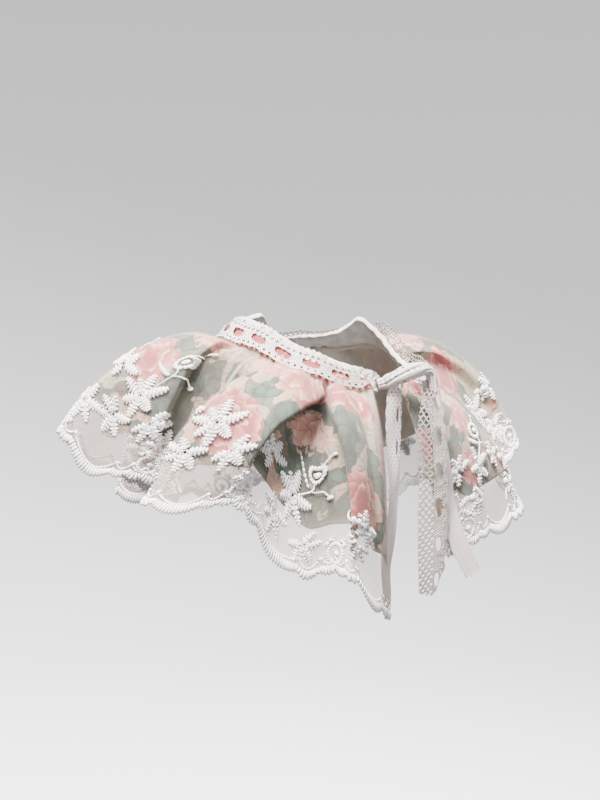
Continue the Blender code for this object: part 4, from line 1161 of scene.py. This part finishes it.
def crochet(name, light, shade, stitch_mm, painted_shade_to=0.0):
    """Crochet cotton: cut at its edges, with small slanting stitches over it. Its colour carries painted
    shade: darker in the low parts of the stitches and near its cut edges, and darker from its start on for so
    many mm."""
    material, tree, shader = new_material(name, 0.8, sheen=0.15)
    body, where = noted(tree, "body", "Fac"), noted(tree, "cloth")
    x, y, _ = parts_of(tree, where)
    slant = calc(tree, "MULTIPLY_ADD", y, 0.7, x)
    rows = fade(tree, calc(tree, "PINGPONG", slant, stitch_mm / 2), 0.0, stitch_mm / 2)
    columns = fade(tree, calc(tree, "PINGPONG", y, stitch_mm * 0.6), 0.0, stitch_mm * 0.35, 0.5)
    height = calc(tree, "MULTIPLY", rows, columns)
    height = calc(tree, "MULTIPLY_ADD", noise(tree, where, 2.2, 3.0), 0.6, height)
    # Painted shade: the colour goes toward the shade colour in the low parts of the stitches and along the
    # cut edges.
    edge = fade(tree, body, 0.0, 0.35)
    tone = calc(tree, "MULTIPLY", fade(tree, height, 0.3, 1.0), calc(tree, "MULTIPLY_ADD", edge, 0.5, 0.5))
    # Painted shade: the colour is darkened over the first so many mm from the start.
    tone = calc(tree, "MULTIPLY", tone, fade(tree, x, 0.4 * painted_shade_to, painted_shade_to + 0.01, 0.30, 1.0))
    tree.links.new(mixed(tree, tone, shade, light), shader["Base Color"])
    tree.links.new(fade(tree, body, -0.04, 0.06), shader["Alpha"])
    raised(tree, shader, height, 0.6, 0.0004)
    return material


tape_mm_per_degree = 2 * pi * NECK_RADIUS / 360.0
tape_length = (TAPE_END - TAPE_START) * tape_mm_per_degree
tape_s = np.linspace(0.0, tape_length, int(tape_length / TAPE_STEP))[:, None]
tape_w = np.linspace(TAPE_TOP - 0.7, TAPE_FOOT + 0.8, TAPE_ROWS)[None, :]
tape_s, tape_w = np.broadcast_arrays(tape_s, tape_w)
tape_angle = TAPE_START + tape_s / tape_mm_per_degree
full = ease(TAPE_START, TAPE_FULL_FROM, tape_angle) * (1 - ease(TAPE_FULL_TO, TAPE_END, tape_angle))
tape_width = TAPE_WIDTH_AT_ENDS + (1 - TAPE_WIDTH_AT_ENDS) * full
lean = TAPE_LEAN_OUT * ease(*TAPE_LEANS_OUT, tape_angle) * (1 - ease(*TAPE_LEANS_BACK, tape_angle))
at_top = np.interp(tape_w, [TAPE_TOP, -1.0], [1.0, 0.0])
at_middle = (1 - at_top) * np.interp(tape_w, [-1.0, 2.6], [1.0, 0.0])
at_foot = np.interp(tape_w, [2.6, TAPE_FOOT], [0.0, 1.0])
tape_out = (TAPE_OVER_GATHERS + at_top * (lean - TAPE_LEAN_IN * tape_width)
            + at_middle * TAPE_LEAN_MIDDLE * lean + at_foot * TAPE_FOOT_LIFT * tape_width
            + TAPE_END_SPREAD * ease(TAPE_FULL_TO, TAPE_END, tape_angle)
            + 0.3 * np.sin(2 * pi * tape_s / 23.0 + np.sin(tape_s / 13.0)) * (at_foot + at_top))
tape_raised = TAPE_RAISED_TO_KNOT * (1 - ease(TAPE_START, TAPE_FULL_FROM, tape_angle))
tape_down = (tape_w - 0.5 * np.sin(tape_s / 4.1)) * tape_width - tape_raised
tape_points = band_point(tape_angle, tape_down, tape_out)
tape_body = np.minimum.reduce([
    tape_w - (TAPE_TOP + 0.35 - 0.75 * abs(np.sin(pi * tape_s / PICOT_PITCH))),
    TAPE_FOOT - 0.45 + 0.8 * abs(np.sin(pi * tape_s / WAVE_PITCH)) - tape_w,
    holes_in_rows(tape_s, tape_w, (-5.2, -2.9), HOLE_PITCH, HOLE_RADIUS),
    holes_in_rows(tape_s, tape_w, (4.3,), HOLE_PITCH, 0.6),
    long_eyelets(tape_s, tape_w, tape_length / TAPE_EYELETS, EYELET_LENGTH, EYELET_HEIGHT, EYELET_MIDDLE),
])
# The tape's colour is painted darker over its first 42 mm, by the knot, as painted shade.
tape = lace_piece("eyelet_tape", tape_points, -surface_normals(tape_points), tape_body,
                  crochet("eyelet tape", (0.86, 0.80, 0.77), (0.22, 0.17, 0.155), 1.3, 42.0), TAPE_LIFT)
note_cloth(tape, tape_s, tape_w)
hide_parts("neck_lace")

# Neck binding
# Bias strip of plain cotton folded over the seam inside the neck, with a soft roll on top
# that stands up in two peaks. Its own stitching puckers it a little.
BINDING_FOOT, BINDING_TOP = 4.0, -6.0
BINDING_START, BINDING_END = 22.0, 356.0
BindingCorner = namedtuple("BindingCorner", "w out peaks")
ROLL_POINTS = 12


def binding_section():
    """Corners round the strip: up its face, round the roll and down its back."""
    face = -(CLOTH + SEAM_GAP) + 0.25
    made = [BindingCorner(w, face - 0.15 * np.sin(w), w < 2)
            for w in np.linspace(BINDING_FOOT, BINDING_TOP, 9)]
    for turn in np.linspace(0.15, 0.95, ROLL_POINTS) * 2 * pi:
        made.append(BindingCorner(BINDING_TOP + 0.2 - 1.15 * np.sin(turn / 2 + 0.2) - 0.2 * np.cos(turn),
                                  face - 1.1 + 1.25 * np.cos(turn / 2 + 0.1), True))
    back = face - 1.5
    made += [BindingCorner(w, back, w < 2) for w in np.linspace(BINDING_TOP + 1.2, BINDING_FOOT, 8)]
    return made


binding_angle = np.linspace(BINDING_START, BINDING_END, 620)
binding_rise = round_the_neck("binding_rise", binding_angle) / BAND_DOWN_PER_MM
pucker = 0.28 * np.sin(2 * pi * binding_angle / 7.3 + 1.5 * np.sin(binding_angle / 11.0))
binding_rings = np.stack([
    band_point(binding_angle, corner.w - binding_rise * corner.peaks,
               corner.out + pucker * (0.3 + 0.7 * np.exp(-((corner.w + 4) / 3.0)**2)))
    for corner in binding_section()], axis=1)


def tube(name, rings, material):
    """Closed tube through rings of points, capped at both ends."""
    return make_piece(name, rings, tube_faces(*rings.shape[:2]), material)


def plain_cloth(name, light, shade):
    """Plain cream cotton with its weave and faint blotches."""
    material, tree, shader = new_material(name, 0.85, sheen=0.1)
    where = object_mm(tree)
    tone = fade(tree, noise(tree, where, 0.25, 4.0), 0.35, 0.65)
    tree.links.new(mixed(tree, tone, shade, light), shader["Base Color"])
    raised(tree, shader, use_group(tree, woven_group, {"Cloth": where})["Height"], 0.4, 0.0002)
    return material


binding = tube("neck_binding_cloth", binding_rings,
               plain_cloth("binding cotton", (0.74, 0.67, 0.61), (0.60, 0.52, 0.46)))
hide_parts("neck_binding")

# Knot
# The tape's ends rolled lengthwise into a soft rope, laid over each other and pulled into
# one slack overhand hitch that arches down into the wide tie end.
# Each row is an angle, radius and height, the half depth and half height there, and how
# far its folds are wound.
KNOT = (
    (22.5, 49.6, -10.6, 2.6, 3.4, -20), (18.6, 50.6, -10.0, 2.8, 4.0, 0), (17.0, 51.8, -9.2, 3.3, 5.0, 20),
    (14.5, 53.6, -7.8, 3.3, 4.6, 45), (11.0, 55.2, -6.4, 4.0, 5.4, 70), (7.0, 56.6, -5.2, 4.3, 5.4, 95),
    (3.5, 57.6, -4.4, 4.2, 4.7, 120), (0.5, 58.6, -4.4, 3.9, 4.1, 145), (-1.8, 59.8, -5.8, 3.4, 3.4, 170),
    (-2.8, 60.8, -8.6, 2.8, 2.2, 190), (-3.1, 61.2, -11.4, 2.2, 2.6, 200), (-3.4, 61.4, -14.5, 1.5, 3.2, 205),
)
KNOT_ROUND, KNOT_LONG = 72, 140
KNOT_CELL_ROUND, KNOT_CELL_LONG = 0.34, 0.31
KNOT_FOLDS = 7
KNOT_HOLE_ROWS = (3.0, 6.2, 9.4, 12.6, 15.8, 19.0, 22.2)


def rolled_knot():
    """Rings of the rolled lace: an ellipse whose edge is creased into lengthwise folds
    that wind slowly round it."""
    angle, radius, height, depth, tall, turn = smooth_rows(KNOT, KNOT_LONG).T
    centre = point_at(angle, radius, height)
    forward = unit(np.gradient(centre, axis=0))
    away = point_at(angle, np.ones(KNOT_LONG), np.zeros(KNOT_LONG))
    away = unit(away - (away * forward).sum(axis=-1, keepdims=True) * forward)
    upward = np.cross(forward, away)
    around = np.linspace(0, 2 * pi, KNOT_ROUND, endpoint=False)[None, :]
    wound = KNOT_FOLDS / 2 * around + np.radians(turn)[:, None] * 1.2
    wound = wound + 0.5 * np.sin(around * 3 + np.linspace(0, 9, KNOT_LONG)[:, None])
    crease = 1.06 - 0.36 * (1 - abs(np.sin(wound)))**2.0
    depth, tall = np.maximum(0.84 * depth, 2.0)[:, None], np.maximum(0.70 * tall, 2.2)[:, None]
    rings = (centre[:, None] + away[:, None] * (depth * crease * np.cos(around))[..., None]
             + upward[:, None] * (tall * crease * np.sin(around))[..., None])
    return rings, crease


knot_rings, knot_crease = rolled_knot()
knot = tube("rolled_knot", knot_rings, crochet("knotted lace", (0.93, 0.88, 0.85), (0.36, 0.29, 0.265), 0.8))
knot_along = KNOT_CELL_LONG * np.arange(KNOT_LONG)[:, None] + 0 * knot_crease
knot_around = KNOT_CELL_ROUND * np.arange(KNOT_ROUND)[None, :] + 0 * knot_crease
note_cloth(knot, knot_along, knot_around)
holes = holes_in_rows(knot_along, knot_around, KNOT_HOLE_ROWS, 2.7, 0.42)
note(knot, "body", np.minimum(holes, (knot_crease - 0.72) * 6))
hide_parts("tie_knot")

# Tie ends
# Three ends hang from the knot: a wide one of eyelet lace, a narrow twisted one of lace
# that is plain below, and a narrow plain one with a frayed end behind the wide one.
# Each row down one is x, y and z, its half width there and the angle its flat side looks to.
LEFT_TIE = (
    (-12.2, -51.6, -7.6, 3.4, 30), (-12.9, -50.9, -25, 3.7, 34), (-12.6, -50.6, -40, 3.2, 36),
    (-12.1, -50.9, -56, 2.4, 36), (-12.7, -50.2, -74, 2.5, 36), (-13.8, -49.0, -86, 3.1, 32),
    (-14.5, -48.2, -98, 2.7, 26), (-14.0, -48.6, -111, 2.3, 22), (-14.0, -48.6, -122, 1.2, 18),
)
FRONT_TIE = (
    (3.0, -61.2, -11.8, 3.4, 30), (0.2, -62.9, -19, 5.2, 34), (-2.2, -64.4, -27, 6.4, 40),
    (-3.2, -65.5, -37, 6.8, 46), (-3.0, -66.2, -55, 7.0, 50), (-3.2, -66.2, -74, 7.0, 52),
    (-3.2, -66.2, -92, 6.6, 48), (-3.6, -65.8, -110, 5.4, 50),
)
RIGHT_TIE = (
    (2.0, -57.6, -9.9, 2.0, 22), (2.3, -60.4, -18, 2.8, 24), (2.6, -63.6, -28, 3.6, 22),
    (2.7, -66.6, -42, 4.2, 20), (3.8, -68.5, -58, 4.4, 20), (4.9, -70.6, -72, 4.4, 26),
    (7.4, -74.2, -86, 4.4, 36), (12.0, -79.8, -101, 4.2, 38),
)
FRONT_EYELETS = 6


def tie_frame(rows, samples):
    """Middle line, width direction, face direction and half width down a tie end."""
    table = smooth_rows(rows, samples)
    middle, half = table[:, :3], table[:, 3:4]
    facing = point_at(table[:, 4], np.ones(samples), np.zeros(samples))
    down = np.gradient(middle, axis=0)
    across = unit(np.cross(down, facing))
    return middle, across, unit(np.cross(across, down)), half


def hanging_lace(name, rows, width, rows_across, body_of, material, lift):
    """Tie end as lace: body_of gives its mm to the nearest edge from mm down and across,
    where across is as if the end were width wide all along. It is cupped a little."""
    middle, across, face, half = tie_frame(rows, 300)
    down = lengths_along(middle)
    s = np.linspace(0, down[-1], int(down[-1] / TAPE_STEP))[:, None]

    def at(values):
        return np.stack([np.interp(s[:, 0], down, column) for column in values.T], axis=-1)

    x = np.linspace(-width / 2 - 0.6, width / 2 + 0.6, rows_across)[None, :]
    s, x = np.broadcast_arrays(s, x)
    middle, across, face, half = at(middle), at(across), at(face), at(half)
    share = x / (width / 2)
    points = middle[:, None] - across[:, None] * (share * half)[..., None]
    cup = 0.5 - 0.8 * share**2 + 0.25 * np.sin(s / 6.0 + 2 * share)
    face = np.broadcast_to(face[:, None], points.shape)
    piece = lace_piece(name, points + face * cup[..., None], face, body_of(s, x, down[-1]), material, lift)
    note_cloth(piece, s, x)
    return piece


def diamonds(s, x, pitch_x, pitch_s, radius):
    """Distance outside the nearest diamond hole of a trellis."""
    nearest = np.full(s.shape, 9.0)
    for shift in (0.0, 0.5):
        dx = (x / pitch_x + shift) % 1.0 - 0.5
        ds = (s / pitch_s + shift) % 1.0 - 0.5
        nearest = np.minimum(nearest, (abs(dx) * pitch_x + abs(ds) * pitch_s) * 0.72 - radius)
    return nearest


def wide_tie_body(s, x, length):
    """Trellis on the left, long eyelets on the right, and a scalloped right edge. The
    trellis closes up towards the foot, which is cut ragged."""
    closing = ease(0.45 * length, 0.8 * length, s)
    trellis = diamonds(s + 0.35 * x * closing, x, 2.9, 3.6, 0.80 - 0.20 * closing)
    trellis = np.where(x < 0.6, trellis, 9.0)
    eyelets = long_eyelets(s, x, length / FRONT_EYELETS, 9.4 - 3.0 * closing, 3.9 - 1.6 * closing, 2.9)
    right = 5.8 + 1.3 * abs(np.sin(pi * s / 8.2)) - x
    return np.minimum.reduce([trellis, eyelets, holes_in_rows(s, x, (5.0,), 3.1, 0.42), right, x + 6.8,
                              length - 0.8 + 0.7 * np.sin(2.1 * x) - 3.0 * np.maximum(x - 2.5, 0.0) - s])


def left_tie_body(s, x, length):
    """Open lace above, plain below, drawn to a point."""
    plain = ease(0.36 * length, 0.50 * length, s)
    trellis = diamonds(s, x, 2.7, 3.4, 0.44 - 0.9 * plain)
    slits = long_eyelets(s + 5, x, 15.0, 6.5, 1.5, 2.2) + 3 * plain
    edge = 4.6 + 0.6 * abs(np.sin(pi * s / 6.5)) * (1 - plain) - abs(x)
    return np.minimum.reduce([trellis, slits, edge])


def right_tie_body(s, x, length):
    """Plain strip with a ragged end."""
    ragged = length - 1.5 + 1.2 * np.sin(3.1 * x) + 0.6 * np.sin(7.7 * x + 1) - s
    return np.minimum(3.9 + 0.12 * np.sin(s / 3.0) - abs(x), ragged)


# The wide end's lace is coloured darker than the tape's and the knot's: painted shade, as it hangs partly in
# shade.
wide_tie = hanging_lace("wide_tie_end", FRONT_TIE, 14.0, 42, wide_tie_body,
                        crochet("eyelet tie end", (0.55, 0.475, 0.445), (0.13, 0.10, 0.088), 1.2), 0.2)
left_tie = hanging_lace("left_tie_end", LEFT_TIE, 9.6, 28, left_tie_body,
                        crochet("lace tie end", (0.86, 0.77, 0.745), (0.56, 0.48, 0.46), 1.1), 0.0)
right_tie = hanging_lace("right_tie_end", RIGHT_TIE, 8.0, 24, right_tie_body,
                         crochet("plain tie end", (0.80, 0.70, 0.66), (0.30, 0.24, 0.21), 0.9), 0.0)
for piece, node, material_slot, flat in ((wide_tie, "tie_tail_front", "eyelet_tie_end", (0.014, 0.10)),
                                         (left_tie, "tie_tail_left", "lace_tie_end", (0.010, 0.112)),
                                         (right_tie, "tie_tail_right", "plain_tie_end", (0.010, 0.095))):
    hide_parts(node)

# Stage
# A pale seamless bowl of a floor stands well under the collar and rises into a wall on every side. Its paper
# is painted darker to grey out towards the wall and towards one side, as painted shade. A wide soft light
# stands high on the left, with a weak one opposite.
FLOOR_HEIGHT = -430.0
FLOOR_FLAT_TO, FLOOR_WALL_AT, WALL_HEIGHT = 900.0, 2200.0, 2600.0
BOWL_SIDES, BOWL_RINGS = 96, 40
FLAT_SHARE = 0.3         # share of the bowl's rings that lie on its flat part
PAPER, PAPER_SHADE = (0.94, 0.94, 0.94), (0.255, 0.255, 0.255)
PAPER_SHADE_TOWARDS = (230.0, -270.0, 0.0)


def paper():
    """Pale paper with painted shade: it darkens to grey with the distance from a place."""
    material, tree, shader = new_material("studio paper", 0.9)
    where = object_mm(tree)
    flat = vector_calc(tree, "MULTIPLY", where, (1.0, 1.0, 0.0))
    flat = vector_calc(tree, "ADD", flat, PAPER_SHADE_TOWARDS)
    # Painted shade: the paper darkens towards the wall and towards one side.
    wall = fade(tree, vector_calc(tree, "LENGTH", flat, output="Value"), 600.0, 1700.0)
    wall = calc(tree, "MULTIPLY_ADD", noise(tree, where, 0.02), 0.03, wall)
    tree.links.new(mixed(tree, wall, PAPER, PAPER_SHADE), shader["Base Color"])
    return material


def bowl():
    """Seamless floor and wall: flat near the middle, then a quarter of an ellipse."""
    share = np.linspace(0.0, 1.0, BOWL_RINGS)[None, :]
    turn = np.linspace(0.0, 2 * pi, BOWL_SIDES + 1)[:-1, None]
    rise = np.clip((share - FLAT_SHARE) / (1 - FLAT_SHARE), 0.0, 1.0) * pi / 2
    radius = np.where(share < FLAT_SHARE, FLOOR_FLAT_TO * share / FLAT_SHARE,
                      FLOOR_FLAT_TO + (FLOOR_WALL_AT - FLOOR_FLAT_TO) * np.sin(rise))
    height = FLOOR_HEIGHT + WALL_HEIGHT * (1 - np.cos(rise))
    points = np.stack(np.broadcast_arrays(radius * np.cos(turn), radius * np.sin(turn), height), axis=-1)
    index = np.arange(BOWL_SIDES * BOWL_RINGS).reshape(BOWL_SIDES, BOWL_RINGS)
    after = np.roll(index, -1, axis=0)
    faces = np.stack([index[:, :-1], index[:, 1:], after[:, 1:], after[:, :-1]], axis=-1)
    floor = smooth_object("studio_bowl", points, faces.reshape(-1, 4).tolist(), paper())
    floor.data.flip_normals()
    floor.visible_diffuse = floor.visible_shadow = False
    return floor


bowl()

SoftLight = namedtuple("SoftLight", "name azimuth elevation distance size power colour")
LIGHTS = [
    SoftLight("key", -80.0, 64.0, 1500.0, 420.0, 170.0, (1.0, 0.985, 0.96)),
    SoftLight("fill", -30.0, 22.0, 1800.0, 700.0, 16.0, (0.97, 0.98, 1.0)),
    SoftLight("from above", 0.0, 88.0, 1600.0, 900.0, 85.0, (1.0, 1.0, 1.0)),
]
for light in LIGHTS:
    lamp = bpy.data.objects.new(light.name, bpy.data.lights.new(light.name, "AREA"))
    lamp.data.shape, lamp.data.size = "DISK", light.size * MM
    lamp.data.energy, lamp.data.color = light.power, light.colour
    axes = view_axes(light.azimuth, light.elevation)
    stand_at(lamp, axes, light.distance * axes[2])
world = bpy.data.worlds.new("studio air")
world.use_nodes = True
air = world.node_tree.nodes["Background"].inputs
air["Color"].default_value = (0.94, 0.96, 1.0, 1.0)
air["Strength"].default_value = 0.33
bpy.context.scene.world = world
